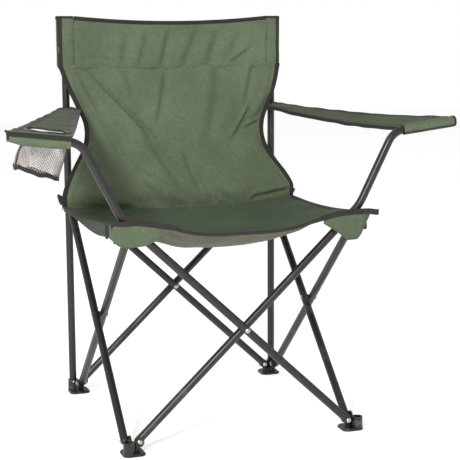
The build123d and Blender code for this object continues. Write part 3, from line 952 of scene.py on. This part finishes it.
        seams = Shape()
        for cloth_part, row in ((band, 1), (panel, 2), (panel, 4)):
            normals = cloth_part.normals()[row, 3:-3]
            stitches(seams, cloth_part.points[row, 3:-3], normals * (cloth_part.thick / 2 + 0.3))
        for column in (6, -7):
            normals = panel.normals()[3:-2, column]
            stitches(seams, panel.points[3:-2, column], normals * 0.9)
        self.crumple().carry(seams.build("back_stitching", self.finishes.thread), "back_cloth")
        for side in Side:
            self.build_sleeve(side)

    def build_sleeve(self, side: Side) -> None:
        """Build one upright's sleeve with its outer tape and its stitch line."""
        motion = Motion(f"{side.label}_post_side")
        sleeve = Cloth(
            f"back_cloth_sleeve_{side.label}", surface(40, 56, lambda u, v: self.sleeve_point(side, u, v))
        )
        piece = sleeve.build(self.finishes.back, self.finishes.back)
        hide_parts(f"back_sleeve_{side.label}")
        self.declare(sleeve, piece, "hung", [f"upright_{side.label}"])
        motion.carry(piece, "back_cloth")

        tapes = Shape()
        self.bind(tapes, sleeve, Edge.LAST_ROW, 8.5)
        heights = np.linspace(self.band_low - 4.0, self.top_edge[0] - 2.0, 24)
        sign = side.value
        line = np.array([(sign * 253.6, 231.0 + 0.4 * math.sin(z / 11.0), z) for z in heights])
        across = np.tile(unit(np.array([sign * 0.82, 0.57, 0.0])), (len(heights), 1))
        up = np.tile(unit(np.array([sign * 0.57, -0.82, 0.0])), (len(heights), 1))
        tape(tapes, line, across, up, 11.5, 2.6)
        motion.carry(tapes.build(f"back_sleeve_binding_{side.label}", self.finishes.tape), "webbing")

        seams = Shape()
        for inset in (2.6, 5.0):
            path = np.array([(sign * (self.stitch_x + inset), 228.4, z) for z in np.linspace(733, 826, 30)])
            stitches(seams, path, np.zeros_like(path))
        motion.carry(seams.build(f"back_sleeve_stitching_{side.label}", self.finishes.thread), "back_cloth")


@dataclass
class Seat(Part):
    """The seat, slung from the seam at its back to the band over the front corners."""

    half_width: float = 270.0
    seam_y: float = 172.0
    seam_z: float = 430.0
    seam_sag: float = 14.0
    side_sag: float = 12.0
    belly: float = 44.0
    droop: float = 20.0  # how far the left edge hangs behind the front corner
    rows: int = 61
    columns: int = 121
    # Distance from the middle, and there the front edge's depth and height.
    front: tuple[Triple, ...] = (
        (0.0, -239.0, 420.0),
        (60.0, -239.0, 420.5),
        (100.0, -240.0, 425.0),
        (125.0, -242.0, 431.0),
        (155.0, -248.0, 443.0),
        (187.0, -255.0, 451.0),
        (225.0, -256.0, 455.0),
        (255.0, -255.5, 453.0),
        (270.0, -252.0, 450.0),
    )
    # Where each arm's tube comes through the cloth: its X, Y, and half the slot each way.
    slots: tuple[tuple[float, float, float, float], ...] = (
        (-238.5, -242.6, 19.0, 12.5),
        (238.5, -225.4, 19.0, 12.0),
    )
    folds: tuple[Crease, ...] = (
        Crease((-240.0, -175.0), (-120.0, -120.0), 16.0, 4.0),
        Crease((-205.0, -225.0), (-110.0, -175.0), 12.0, 4.5),
        Crease((236.0, -190.0), (120.0, -130.0), 16.0, 3.6),
        Crease((200.0, -225.0), (110.0, -190.0), 12.0, 4.0),
        Crease((-262.0, 150.0), (-170.0, 90.0), 14.0, 3.0),
        Crease((262.0, 150.0), (175.0, 100.0), 14.0, 3.0),
        Crease((-60.0, 165.0), (-20.0, 40.0), 24.0, 2.2),
        Crease((90.0, 160.0), (110.0, 30.0), 24.0, 2.2),
    )

    def crumple(self, body: str) -> Motion:
        """The seat narrows with the back as the frame closes."""
        return Motion(body, axis=CRUMPLE_X, anchor=(-240.5, 0.0, 0.0), keep=0.188)

    def point(self, u: float, v: float) -> Triple:
        """A point of the seat, u from right to left and v from the seam to the front."""
        s = 1 - 2 * u
        half = self.half_width - 2.0 * float(ease(1 - v / 0.1))
        x = s * half
        front_y, front_z = curve(self.front, abs(x))
        y = self.seam_y + (front_y - self.seam_y) * v
        back_z = self.seam_z - self.seam_sag * (1 - s * s)
        skew = v**0.92
        hollow = 4 * skew * (1 - skew)
        z = back_z * (1 - v) + front_z * v - self.side_sag * hollow - self.belly * hollow * (1 - s * s)
        rise = 1.8 * hollow * math.exp(-(((abs(x) - 225.0) / 40.0) ** 2))
        droop = self.droop * float(ease((-s - 0.84) / 0.15) * ease((v - 0.2) / 0.66) * ease((1 - v) / 0.07))
        calm = float(ease((1 - abs(s)) / 0.05) * ease(v / 0.04) * ease((1 - v) / 0.05))
        out = sum(fold.at(x, y) for fold in self.folds) + rumple(x, y, 140.0, 2.4)
        pucker = math.exp(-v * 400 / 14.0) * math.sin(x / 3.1 + 0.8 * math.sin(x / 17.0))
        return (x, y, z + rise - droop + out * calm + 0.5 * pucker)

    def in_slot(self, point: np.ndarray) -> bool:
        """Whether a place on the cloth lies in an arm tube's slot."""
        return any(((point[0] - x) / a) ** 2 + ((point[1] - y) / b) ** 2 < 1 for x, y, a, b in self.slots)

    def to_slot(self, point: np.ndarray) -> np.ndarray:
        """Move a point beside a slot onto its edge."""
        x, y, a, b = min(self.slots, key=lambda s: abs(point[0] - s[0]))
        p, q = (point[0] - x) / a, (point[1] - y) / b
        far = max(math.hypot(p, q), 1e-6)
        return np.array([x + a * p / far, y + b * q / far, point[2]]) if far < 1.3 else point

    def build(self) -> None:
        """Build both halves of the seat, their side tapes, the front band and the stitching."""
        whole = surface(self.rows, self.columns, self.point)
        normals = facing(whole)
        middle = self.rows // 2
        rear, front = slice(0, middle + 1), slice(middle, self.rows)
        corners = ("front_corner_left", "front_corner_right")
        # Each half's word, rows, body, node and holders, then the rows and the ends of its stitch
        # lines, and how far along its sides the tape runs.
        halves = (
            ("rear", rear, "seat_rear_half", "seat_rear", ("slider_left", "slider_right"), (2, 4), 6, 1.0),
            ("front", front, "seat_front_half", "seat_front", corners, (-3,), 22, 0.93),
        )
        for word, rows, body, node, rests, lines, clear, bound in halves:
            cloth = Cloth(f"seat_cloth_{word}", whole[rows], upward=normals[rows])
            if word == "front":
                cloth.hole, cloth.snap = self.in_slot, self.to_slot
            piece = cloth.build(self.finishes.seat, self.finishes.underside)
            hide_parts(node)
            self.declare(cloth, piece, "hung", rests)
            self.crumple(body).carry(piece, "seat_cloth")
            tapes = Shape()
            for edge in (Edge.FIRST_COLUMN, Edge.LAST_COLUMN):
                self.bind(tapes, cloth, edge, 10.0, end=bound)
            if word == "front":
                self.add_front_band(tapes)
            self.crumple(body).carry(tapes.build(f"seat_binding_{word}", self.finishes.tape), "webbing")
            seams = Shape()
            for row in lines:
                up = cloth.normals()[row, clear:-clear]
                stitches(seams, cloth.points[row, clear:-clear], up * 0.9)
            piece = seams.build(f"seat_stitching_{word}", self.finishes.thread)
            self.crumple(body).carry(piece, "seat_cloth")

    def add_front_band(self, shape: Shape) -> None:
        """Add the tape that binds the front edge and stands up in front of the arm tubes."""
        xs = np.linspace(-self.half_width - 1.0, self.half_width + 6.0, 150)
        path, across, widths = [], [], []
        for x in xs:
            y, z = curve(self.front, min(abs(x), self.half_width))
            corner = float(ease((abs(x) - 120.0) / 50.0))
            widths.append(8.0 + 4.0 * corner)
            wave = 0.8 * math.sin(x / 13.0) * corner
            path.append((x, y - 1.4 - 0.6 * corner, z - 1.5 - 2.0 * corner + wave))
            across.append((0.0, 0.45 - 0.35 * corner, -0.9))
        path, across = np.array(path), unit(np.array(across))
        up = unit(np.cross(across, unit(np.gradient(path, axis=0))))
        tape(shape, path, across, up, widths, 3.4)


@dataclass
class FrontPocket(Part):
    """The pocket under a front corner of the seat, which takes the frame's corner."""

    side: Side = Side.LEFT
    # Share of the way round from the side's back, and there a point of the top or the bottom edge.
    tops: dict[Side, tuple[tuple[float, ...], ...]] = field(
        default_factory=lambda: {
            Side.LEFT: (
                (0.0, -268.0, -214.0, 427.0),
                (0.26, -277.0, -251.0, 451.0),
                (0.36, -264.0, -256.5, 452.0),
                (0.46, -251.0, -258.5, 452.0),
                (0.68, -205.0, -257.0, 451.0),
                (0.8, -187.0, -256.0, 448.0),
                (1.0, -156.0, -249.0, 439.0),
            ),
            Side.RIGHT: (
                (0.0, 267.0, -212.0, 437.0),
                (0.26, 264.0, -247.0, 452.0),
                (0.36, 250.0, -256.5, 454.0),
                (0.55, 222.0, -257.0, 453.0),
                (0.8, 194.0, -256.0, 450.0),
                (1.0, 160.0, -249.5, 441.0),
            ),
        }
    )
    bottoms: dict[Side, tuple[tuple[float, ...], ...]] = field(
        default_factory=lambda: {
            Side.LEFT: (
                (0.0, -268.0, -216.0, 421.0),
                (0.26, -275.0, -251.0, 428.0),
                (0.36, -258.0, -256.0, 411.0),
                (0.46, -242.0, -257.5, 406.0),
                (0.68, -205.0, -257.0, 408.5),
                (0.8, -187.0, -255.0, 415.0),
                (1.0, -157.0, -248.5, 430.0),
            ),
            Side.RIGHT: (
                (0.0, 262.0, -210.0, 424.0),
                (0.26, 245.0, -241.0, 404.0),
                (0.36, 229.0, -256.0, 395.5),
                (0.55, 208.0, -257.0, 395.0),
                (0.8, 186.0, -255.0, 412.0),
                (1.0, 160.0, -248.5, 429.0),
            ),
        }
    )

    @staticmethod
    def along(stations: Sequence[Sequence[float]], share: float) -> np.ndarray:
        """Read a folded edge, which runs straight from station to station."""
        table = np.asarray(stations)
        return np.array([np.interp(share, table[:, 0], table[:, i]) for i in (1, 2, 3)])

    def point(self, u: float, v: float) -> Triple:
        """A point of the pocket, u round it and v up."""
        share = u if self.side is Side.LEFT else 1 - u
        low, high = self.along(self.bottoms[self.side], share), self.along(self.tops[self.side], share)
        x, y, z = low + (high - low) * v
        belly = 2.2 * math.sin(math.pi * min(v, 1.0)) * (1 - abs(2 * share - 1) ** 4)
        y -= belly * float(ease((share - 0.2) / 0.2))
        x += self.side.value * belly * float(ease((0.4 - share) / 0.2)) * 0.4
        y -= 0.8 * math.sin(x / 12.0 + z / 9.0) * math.sin(math.pi * v)
        return (x, y, z)

    def build(self) -> None:
        """Build the pocket's cloth, the hem at its bottom and the hem's stitches."""
        label, sign = self.side.label, self.side.value
        motion = Motion(
            f"{label}_front_corner", axis=CRUMPLE_X, anchor=(sign * 240.5, 0.0, 0.0), keep=0.3
        )
        cloth = Cloth(f"pocket_cloth_{label}", surface(22, 64, self.point))
        piece = cloth.build(self.finishes.pocket, self.finishes.underside)
        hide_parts(f"seat_pocket_{label}")
        self.declare(cloth, piece, "hung", [f"front_corner_{label}"])
        motion.carry(piece, "pocket_cloth")
        seams = Shape()
        up = cloth.normals()
        stitches(seams, cloth.points[1, 2:-2], up[1, 2:-2] * 0.9)
        corner = 22 if sign < 0 else -23  # the column at the pocket's fold
        stitches(seams, cloth.points[2:-4, corner], up[2:-4, corner] * 0.9)
        motion.carry(seams.build(f"pocket_stitching_{label}", self.finishes.thread), "pocket_cloth")
        if self.side is Side.LEFT:
            self.build_corner_tape(motion)

    def build_corner_tape(self, motion: Motion) -> None:
        """Build the tape on the left pocket's outer corner, which stands up to the seat's edge."""
        edge = Shape()
        line = np.array(
            [
                (-272.5, -238.0, 425.5),
                (-277.6, -250.0, 428.0),
                (-279.0, -252.5, 440.0),
                (-278.6, -253.0, 453.0),
            ]
        )
        across = unit(np.array([(0.3, -0.3, 0.9), (0.5, -0.8, 0.4), (0.55, -0.83, 0.0), (0.55, -0.83, 0.0)]))
        up = np.tile(unit(np.array([-0.83, -0.55, 0.0])), (len(line), 1))
        tape(edge, line, across, up, 8.0, 3.0)
        motion.carry(edge.build("pocket_binding_left", self.finishes.tape), "webbing")


@dataclass
class CornerTab(Part):
    """The webbing tab that ties the end of the back seam to a slider."""

    side: Side = Side.LEFT
    width: float = 19.0

    def build(self) -> None:
        """Build the tab and the ear of tape that stands out at the seam's end."""
        label, sign = self.side.label, self.side.value
        shape = Shape()
        line = np.array(
            [
                (sign * x, y, 431.0 + 1.2 * math.sin(y / 7.0))
                for x, y in ((268.5, 174), (266, 186), (262, 200), (258.5, 214), (256.5, 228), (255.5, 240))
            ]
        )
        along = unit(np.gradient(line, axis=0))
        down = np.tile(np.array([0.0, 0.0, 1.0]), (len(line), 1))
        tape(shape, line, down, unit(np.cross(along, down)), self.width, 1.8)
        reach = 1.0 if self.side is Side.LEFT else 0.45
        spine = np.array([(0, 0, 0), (3, -1, 8), (7, -1.5, 15), (11.5, -2, 21)]) * reach
        across, lift = unit(np.array([sign * 0.9, 0.1, -0.42])), unit(np.array([0.1 * sign, -1.0, 0.0]))
        rings = []
        for (x, y, z), wide in zip(spine, (13.0, 15.0, 11.0, 4.0)):
            middle = np.array([sign * (267.5 + x), 172.0 + y, 437.0 + z])
            rings.append(oval(middle, across, lift, wide * reach, 3.0, (0.6, 1.0)))
        sweep(shape, rings)
        piece = shape.build(f"corner_tab_{label}", self.finishes.tape)
        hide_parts(f"seat_tab_{label}")
        Motion(f"{label}_slider").carry(piece, "webbing")


@dataclass
class Armrest(Part):
    """An armrest: a strip of cloth from the upright's collar to a sleeve on the arm's tip."""

    side: Side = Side.LEFT
    back_x: Pair = (261.0, 211.0)  # outer and inner end of its back edge, from the middle
    front_x: Pair = (450.0, 335.0)
    back_y: float = 229.0
    back_z: float = 638.5
    sag: float = 1.5
    lift: float = 9.6  # from the arm tube's axis to the cloth over it
    cup_at: Pair = (-365.0, -160.0)
    cup_hole: float = 38.6
    cup_seam: float = 48.5  # the radius of the stitches round the hole
    # Round the arm tube, from the flap's hem to the armrest: how far behind the axis, and above it.
    wrap: tuple[Pair, ...] = (
        (-2.0, -19.0),
        (-5.0, -14.0),
        (-8.2, -9.0),
        (-9.9, -3.0),
        (-9.7, 2.5),
        (-7.2, 7.0),
        (-3.0, 9.6),
        (2.0, 10.2),
        (7.0, 9.6),
        (11.5, 8.6),
    )

    @property
    def band_part(self) -> Pair:
        """Where the black band lies round the sleeve: over the tube on the left, at the hem on the right."""
        return (0.42, 0.60) if self.side is Side.LEFT else (0.0, 0.30)

    @property
    def hang(self) -> float:
        """How much lower the inner edge hangs along its middle, in millimetres."""
        return 1.0 if self.side is Side.LEFT else 4.5

    @property
    def bulge(self) -> float:
        """How far the outer edge curves out, in millimetres: the cup holder pulls the left one."""
        return 9.0 if self.side is Side.LEFT else 0.0

    @property
    def tube_y(self) -> float:
        """The plane of the arm's tube: the left one is the outer of the crossed pair."""
        return -242.6 if self.side is Side.LEFT else -225.4

    @property
    def front_y(self) -> float:
        """The depth of the strip's front edge, just behind the tube."""
        return self.tube_y + 10.5

    def edges_at(self, v: float) -> Pair:
        """How far the outer and the inner edge are from the middle, v from the front to the back."""
        outer, inner = (b + (f - b) * (1 - v) for b, f in zip(self.back_x, self.front_x))
        return outer + math.sin(math.pi * v) * self.bulge, inner

    def tube_z(self, x: float) -> float:
        """The height of the arm tube's straight tip at a distance from the middle."""
        return 604.0 + (abs(x) - 321.0) * 15.5 / 131.0

    def point(self, u: float, v: float) -> Triple:
        """A point of the armrest, u towards +X and v from the front to the back."""
        share = u if self.side is Side.LEFT else 1 - u
        flare = 1 - v
        outer, inner = self.edges_at(v)
        far = outer + (inner - outer) * share
        y = self.front_y + (self.back_y - self.front_y) * v
        front_z = self.tube_z(far) + self.lift
        z = front_z * flare + self.back_z * (1 - flare)
        middle = 1 - (2 * share - 1) ** 2
        z -= (self.sag + self.hang * share) * 4 * v * (1 - v) + 1.6 * middle * math.sin(math.pi * v)
        z -= self.hang * share * (1 - v) ** 2
        calm = float(ease(v / 0.06) * ease((1 - v) / 0.06))
        z += rumple(far, y, 90.0, 1.4) * calm
        return (self.side.value * far, y, z)

    def in_cup(self, point: np.ndarray) -> bool:
        """Whether a place on the cloth lies in the cup holder's hole."""
        return math.hypot(point[0] - self.cup_at[0], point[1] - self.cup_at[1]) < self.cup_hole

    def to_cup(self, point: np.ndarray) -> np.ndarray:
        """Move a point beside the hole onto its edge."""
        p, q = point[0] - self.cup_at[0], point[1] - self.cup_at[1]
        far = math.hypot(p, q) / self.cup_hole
        return np.array([self.cup_at[0] + p / far, self.cup_at[1] + q / far, point[2]])

    def motion(self) -> Motion:
        """The strip is drawn in along its own length as the frame closes."""
        axis = (self.side.value * 0.315, -0.948, -0.040)
        return Motion(
            f"{self.side.label}_armrest",
            axis=axis,
            anchor=(self.side.value * 240.5, 232.0, 640.0),
            keep=0.515,
        )

    def build(self) -> None:
        """Build the strip, its tapes and stitches, the sleeve on the arm and the loop on the upright."""
        label = self.side.label
        cloth = Cloth(f"armrest_cloth_{label}", surface(120, 34, self.point))
        if self.side is Side.LEFT:
            cloth.hole, cloth.snap = self.in_cup, self.to_cup
        piece = cloth.build(self.finishes.armrest, self.finishes.underside)
        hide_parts(f"armrest_{label}")
        self.declare(cloth, piece, "hung", [f"arm_collar_{label}", f"arm_tube_{label}"])
        self.motion().carry(piece, "armrest_cloth")

        tapes = Shape()
        outer, inner = Edge.FIRST_COLUMN, Edge.LAST_COLUMN
        if self.side is Side.RIGHT:
            outer, inner = inner, outer
        line, into, up = cloth.edge(inner)
        if self.side is Side.LEFT:
            tape(tapes, line + into * 5.0, into, up, 14.0, 3.2)
        else:
            hang = unit(into * 0.18 - up)
            face = unit(np.cross(unit(np.gradient(line, axis=0)), hang))
            tape(tapes, line + hang * 2.8, hang, face, 8.5, 2.6)
        for which, inset, width in ((outer, 3.0, 8.0), (Edge.LAST_ROW, 2.4, 6.5)):
            line, into, up = cloth.edge(which)
            tape(tapes, line + into * inset, into, up, width, 3.0)
        self.motion().carry(tapes.build(f"armrest_binding_{label}", self.finishes.tape), "webbing")

        seams = Shape()
        normals = cloth.normals()
        for column in (4, -5):
            stitches(seams, cloth.points[2:-3, column], normals[2:-3, column] * 0.9)
        if self.side is Side.LEFT:
            self.add_cup_stitches(seams)
        self.motion().carry(seams.build(f"armrest_stitching_{label}", self.finishes.thread), "armrest_cloth")
        self.build_sleeve()
        self.build_loop()

    def add_cup_stitches(self, shape: Shape) -> None:
        """Add the ring of stitches that holds the cup holder's ring down."""
        ring = []
        for angle in np.linspace(0, 2 * math.pi, 49):
            x = self.cup_at[0] + self.cup_seam * math.cos(angle)
            y = self.cup_at[1] + self.cup_seam * math.sin(angle)
            ring.append((x, y, self.cloth_height(x, y)))
        ring = np.array(ring)
        stitches(shape, ring, np.tile([0.0, 0.0, 1.0], (len(ring), 1)))

    def cloth_height(self, x: float, y: float) -> float:
        """The height of the cloth at a place on it."""
        v = (y - self.front_y) / (self.back_y - self.front_y)
        outer, inner = self.edges_at(v)
        share = (abs(x) - outer) / (inner - outer)
        return self.point(share if self.side is Side.LEFT else 1 - share, v)[2]

    def wrap_point(self, u: float, v: float, out: float = 0.0, part: Pair = (0.0, 1.0)) -> Triple:
        """A point of the sleeve round the arm's tip, u towards +X and v round it."""
        share = u if self.side is Side.LEFT else 1 - u
        far = 456.5 + (341.0 - 456.5) * share
        at = (part[0] + (part[1] - part[0]) * v) * (len(self.wrap) - 1)
        table = [(i, *p) for i, p in enumerate(self.wrap)]
        behind, above = curve(table, at)
        long = 0.2 + 0.42 * float(ease(share / 0.3)) * (1 - 0.3 * float(ease((share - 0.75) / 0.25)))
        long = long if self.side is Side.LEFT else 0.22
        if above < -6.0:
            above = -6.0 + (above + 6.0) * long
        low, high = curve(table, max(at - 0.05, 0)), curve(table, min(at + 0.05, len(self.wrap) - 1))
        normal = unit(np.array([-(high - low)[1], (high - low)[0]]))
        behind, above = behind + normal[0] * out, above + normal[1] * out
        wave = 0.9 * math.sin(far / 8.5 + 1.0) * float(ease((-above - 4.0) / 8.0))
        return (self.side.value * far, self.tube_y + behind - wave, self.tube_z(far) + above)

    def build_sleeve(self) -> None:
        """Build the sleeve on the arm's tip, its flap, and the black tape over its front."""
        label = self.side.label
        motion = Motion(f"front_{label}_arm")
        cloth = Cloth(f"arm_sleeve_cloth_{label}", surface(34, 60, self.wrap_point), thick=1.1)
        piece = cloth.build(self.finishes.flap, self.finishes.flap)
        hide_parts(f"arm_sleeve_{label}")
        self.declare(cloth, piece, "folded", [f"arm_tube_{label}"])
        motion.carry(piece, "webbing")
        tapes = Shape()
        band = Cloth(
            "band", surface(10, 60, lambda u, v: self.wrap_point(u, v, 1.5, self.band_part)), thick=1.8
        )
        part = band.shape()
        tapes.add(part.points, part.faces)
        tip = Edge.FIRST_COLUMN if self.side is Side.LEFT else Edge.LAST_COLUMN
        self.bind(tapes, cloth, tip, 5.0, start=0.3)
        motion.carry(tapes.build(f"arm_sleeve_binding_{label}", self.finishes.tape), "webbing")
        seams = Shape()
        normals = cloth.normals()
        stitches(seams, cloth.points[2, 3:-3], normals[2, 3:-3] * 0.8)
        motion.carry(seams.build(f"arm_sleeve_stitching_{label}", self.finishes.thread), "armrest_cloth")

    def build_loop(self) -> None:
        """Build the loop of cloth that holds the armrest's back end round the upright's collar."""
        label, sign = self.side.label, self.side.value

        def at(u: float, v: float) -> Triple:
            angle = 2 * math.pi * u
            radius = 17.2 + 0.9 * math.sin(3 * angle + 0.5) * math.sin(math.pi * v) + 1.2 * v * (1 - v)
            front = 1.0 + 0.12 * math.cos(angle + math.pi / 2)
            x = sign * 240.5 + radius * math.cos(angle)
            y = 240.5 + radius * front * math.sin(angle)
            return (x, y, 623.5 + 16.0 * v + 0.6 * math.sin(2 * angle))

        cloth = Cloth(f"armrest_loop_{label}", surface(10, 49, at))
        piece = cloth.build(self.finishes.armrest, self.finishes.armrest)
        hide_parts(f"arm_collar_{label}")
        self.declare(cloth, piece, "folded", [f"upright_{label}"])
        Motion(f"{label}_post_side").carry(piece, "armrest_cloth")


@dataclass
class CupHolder(Part):
    """The net bag under the left armrest, which hangs from a stiff ring."""

    at: Pair = (-365.0, -160.0)
    top: float = 613.0
    low: float = 542.0
    tilt: float = 13.5
    radius: float = 41.0
    lean: float = 24.0
    pitch: float = 3.7  # Net meshes are 2 mm, drawn wider so that they show.
    yarn: float = 0.5
    ring: float = 41.5  # the radius of the ring's own middle

    def motion(self) -> Motion:
        """The bag is drawn in with the armrest that it hangs from."""
        return Armrest(self.finishes, Side.LEFT).motion()

    def wall(self, angle: float, height: float) -> Triple:
        """A point of the bag's wall, by the angle and by the height from nought to one."""
        bulge = 2.4 * math.sin(math.pi * height) + 1.3 * math.sin(3 * angle + 4 * height)
        radius = self.radius + bulge * math.sin(math.pi * min(height * 1.1, 1.0))
        low = self.low - self.tilt * math.cos(angle)
        low += 1.6 * math.sin(5 * angle + 1.0) + 1.1 * math.sin(9 * angle)
        lean = self.lean * (1 - height) + 3.0 * math.sin(math.pi * height)
        x = self.at[0] - lean + radius * math.cos(angle)
        y = self.at[1] + radius * math.sin(angle)
        return (x, y, low + (self.top - low) * height)

    def build(self) -> None:
        """Build the net's wall and floor, the tapes round them and the ring."""
        net = Shape()
        around = 2 * math.pi * self.radius
        count = round(around / (self.pitch * math.sqrt(2)))
        tall = self.top - self.low
        turn = tall / self.radius
        for hand in (-1, 1):
            for i in range(count):
                start = 2 * math.pi * i / count
                path = np.array([self.wall(start + hand * turn * t, t) for t in np.linspace(0, 1, 12)])
                strand(net, path, self.yarn)
        for hand in (-1, 1):
            for i in range(-8, 9):
                off = i * self.pitch
                half = math.sqrt(max(self.radius**2 - off**2, 0.0)) - 0.5
                line = []
                for t in np.linspace(-half, half, 8):
                    x, y = (t - hand * off) / math.sqrt(2), (hand * t + off) / math.sqrt(2)
                    z = self.low - self.tilt * x / self.radius - 1.5 * (1 - (x * x + y * y) / self.radius**2)
                    line.append((self.at[0] - self.lean + x, self.at[1] + y, z))
                strand(net, np.array(line), self.yarn)
        piece = net.build("cup_net", self.finishes.net, sharp=80.0)
        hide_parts("cup_holder")
        self.motion().carry(piece, "mesh")

        tapes = Shape()
        angles = np.linspace(0, 2 * math.pi, 61)
        for height, width, thick in ((0.04, 8.5, 2.4), (0.965, 6.0, 2.0)):
            line = np.array([self.wall(a, height) for a in angles])
            out = np.array([(math.cos(a), math.sin(a), 0.0) for a in angles])
            tape(tapes, line + out * 0.4, np.tile([0.0, 0.0, 1.0], (len(line), 1)), out, width, thick)
        for angle in (math.pi * 1.06, -0.1):
            line = np.array([self.wall(angle, t) for t in np.linspace(0.0, 1.0, 14)])
            out = np.tile([math.cos(angle), math.sin(angle), 0.0], (len(line), 1))
            side = np.tile([-math.sin(angle), math.cos(angle), 0.0], (len(line), 1))
            tape(tapes, line + out * 0.5, side, out, 7.0, 1.8)
        self.motion().carry(tapes.build("cup_net_binding", self.finishes.tape), "webbing")
        self.build_ring()

    def build_ring(self) -> None:
        """Build the moulded ring that rims the hole in the armrest."""
        armrest = Armrest(self.finishes, Side.LEFT)
        shape, rings = Shape(), []
        for angle in np.linspace(0, 2 * math.pi, 97):
            out = np.array([math.cos(angle), math.sin(angle), 0.0])
            x, y = self.at[0] + self.ring * out[0], self.at[1] + self.ring * out[1]
            centre = np.array([x, y, armrest.cloth_height(x, y) + 1.0])
            rings.append(oval(centre, out, np.array([0.0, 0.0, 1.0]), 6.8, 4.6, (0.7, 1.0), sides=16))
        sweep(shape, rings)
        piece = shape.build("cup_ring", self.finishes.ring, sharp=70.0)
        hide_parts("cup_rim")
        armrest.motion().carry(piece, "cup_ring")


@dataclass
class Frame(Part):
    """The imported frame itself: its tubes, mouldings, plugs and rivets keep their shapes."""

    def dress(self) -> None:
        """Give every shown node its finish, by the slot that the record gives it."""
        finishes = {
            "frame_tube": self.finishes.tube,
            "moulding": self.finishes.moulding,
            "tube_plug": self.finishes.plug,
            "rivet": self.finishes.rivet,
            "washer": self.finishes.plug,
            "back_cloth": self.finishes.back,
            "seat_cloth": self.finishes.seat,
            "pocket_cloth": self.finishes.pocket,
            "armrest_cloth": self.finishes.armrest,
            "webbing": self.finishes.tape,
            "mesh": self.finishes.net,
            "cup_ring": self.finishes.ring,
        }
        slots = {s["node"]: s["material_slot"] for s in frame["record"]["subparts"]}
        for name, obj in frame["nodes"].items():
            for slot in obj.material_slots:
                slot.material = finishes[slots[name]]
            LOG.info("%s keeps its shape, in %s", name, slots[name])


@dataclass
class Studio:
    """A pale floor, soft lights and the camera."""

    eye: Triple = (-0.8431, -2.5160, 0.8058)
    target: Triple = (0.0531, 0.0, 0.3865)
    roll: float = -0.297
    focal: float = 99.73
    floor_half: float = 9.0
    daylight: float = 0.62  # of the backdrop, which the camera itself sees as pure white

    def build(self) -> None:
        """Build the floor, the world, the lights and the camera."""
        floor = PaintedBoard().build()
        mesh = bpy.data.meshes.new("floor")
        half = self.floor_half
        corners = [(-half, -half, 0), (half, -half, 0), (half, half, 0), (-half, half, 0)]
        mesh.from_pydata(corners, [], [(0, 1, 2, 3)])
        mesh.materials.append(floor)
        obj = bpy.data.objects.new("floor", mesh)
        obj.location.z = -0.4 * MM  # a hair below the feet
        bpy.context.scene.collection.objects.link(obj)
        world = bpy.data.worlds.new("studio")
        bpy.context.scene.world = world
        world.use_nodes = True
        background = world.node_tree.nodes["Background"]
        background.inputs["Color"].default_value = (1.0, 1.0, 1.0, 1.0)
        # The backdrop shows pure white, while the light that it gives is softer than the key.
        path = world.node_tree.nodes.new("ShaderNodeLightPath")
        strength = add_node(
            world.node_tree,
            "ShaderNodeMapRange",
            {0: path.outputs["Is Camera Ray"], 3: self.daylight, 4: 1.0},
        )
        world.node_tree.links.new(strength.outputs[0], background.inputs["Strength"])
        self.add_light("key", (-1.85, -2.55, 1.82), (0.0, 0.0, 0.5), 0.5, 88.0)
        self.add_light("fill", (2.6, -2.4, 1.6), (0.0, 0.0, 0.45), 1.8, 8.0)
        self.add_light("rim", (-1.2, 2.6, 2.4), (0.0, 0.0, 0.5), 1.2, 22.0)
        bpy.context.scene.view_settings.view_transform = "Standard"
        self.add_camera()

    def add_light(self, name: str, at: Triple, to: Triple, size: float, power: float) -> None:
        """Add a square soft light that points at a place."""
        light = bpy.data.lights.new(name, "AREA")
        light.size, light.energy = size, power
        obj = bpy.data.objects.new(name, light)
        obj.location = at
        obj.rotation_euler = (Vector(to) - Vector(at)).to_track_quat("-Z", "Y").to_euler()
        bpy.context.scene.collection.objects.link(obj)

    def add_camera(self) -> None:
        """Add the camera, level but for a slight roll."""
        camera = bpy.data.cameras.new("camera")
        camera.lens, camera.sensor_width = self.focal, 36.0
        camera.clip_start = 0.05
        obj = bpy.data.objects.new("camera", camera)
        look = (Vector(self.target) - Vector(self.eye)).to_track_quat("-Z", "Y").to_matrix()
        turn = look @ Matrix.Rotation(math.radians(self.roll), 3, "Z")
        obj.matrix_world = Matrix.Translation(self.eye) @ turn.to_4x4()
        bpy.context.scene.collection.objects.link(obj)
        bpy.context.scene.camera = obj


def main() -> None:
    """Build the chair over its frame, piece by piece."""
    logging.basicConfig(level=logging.INFO, format="%(message)s")
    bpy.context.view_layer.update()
    finishes = Finishes()
    Studio().build()
    Frame(finishes).dress()
    Back(finishes).build()
    Seat(finishes).build()
    for side in Side:
        FrontPocket(finishes, side).build()
        CornerTab(finishes, side).build()
        Armrest(finishes, side).build()
    CupHolder(finishes).build()


if __name__ == "__main__":
    main()
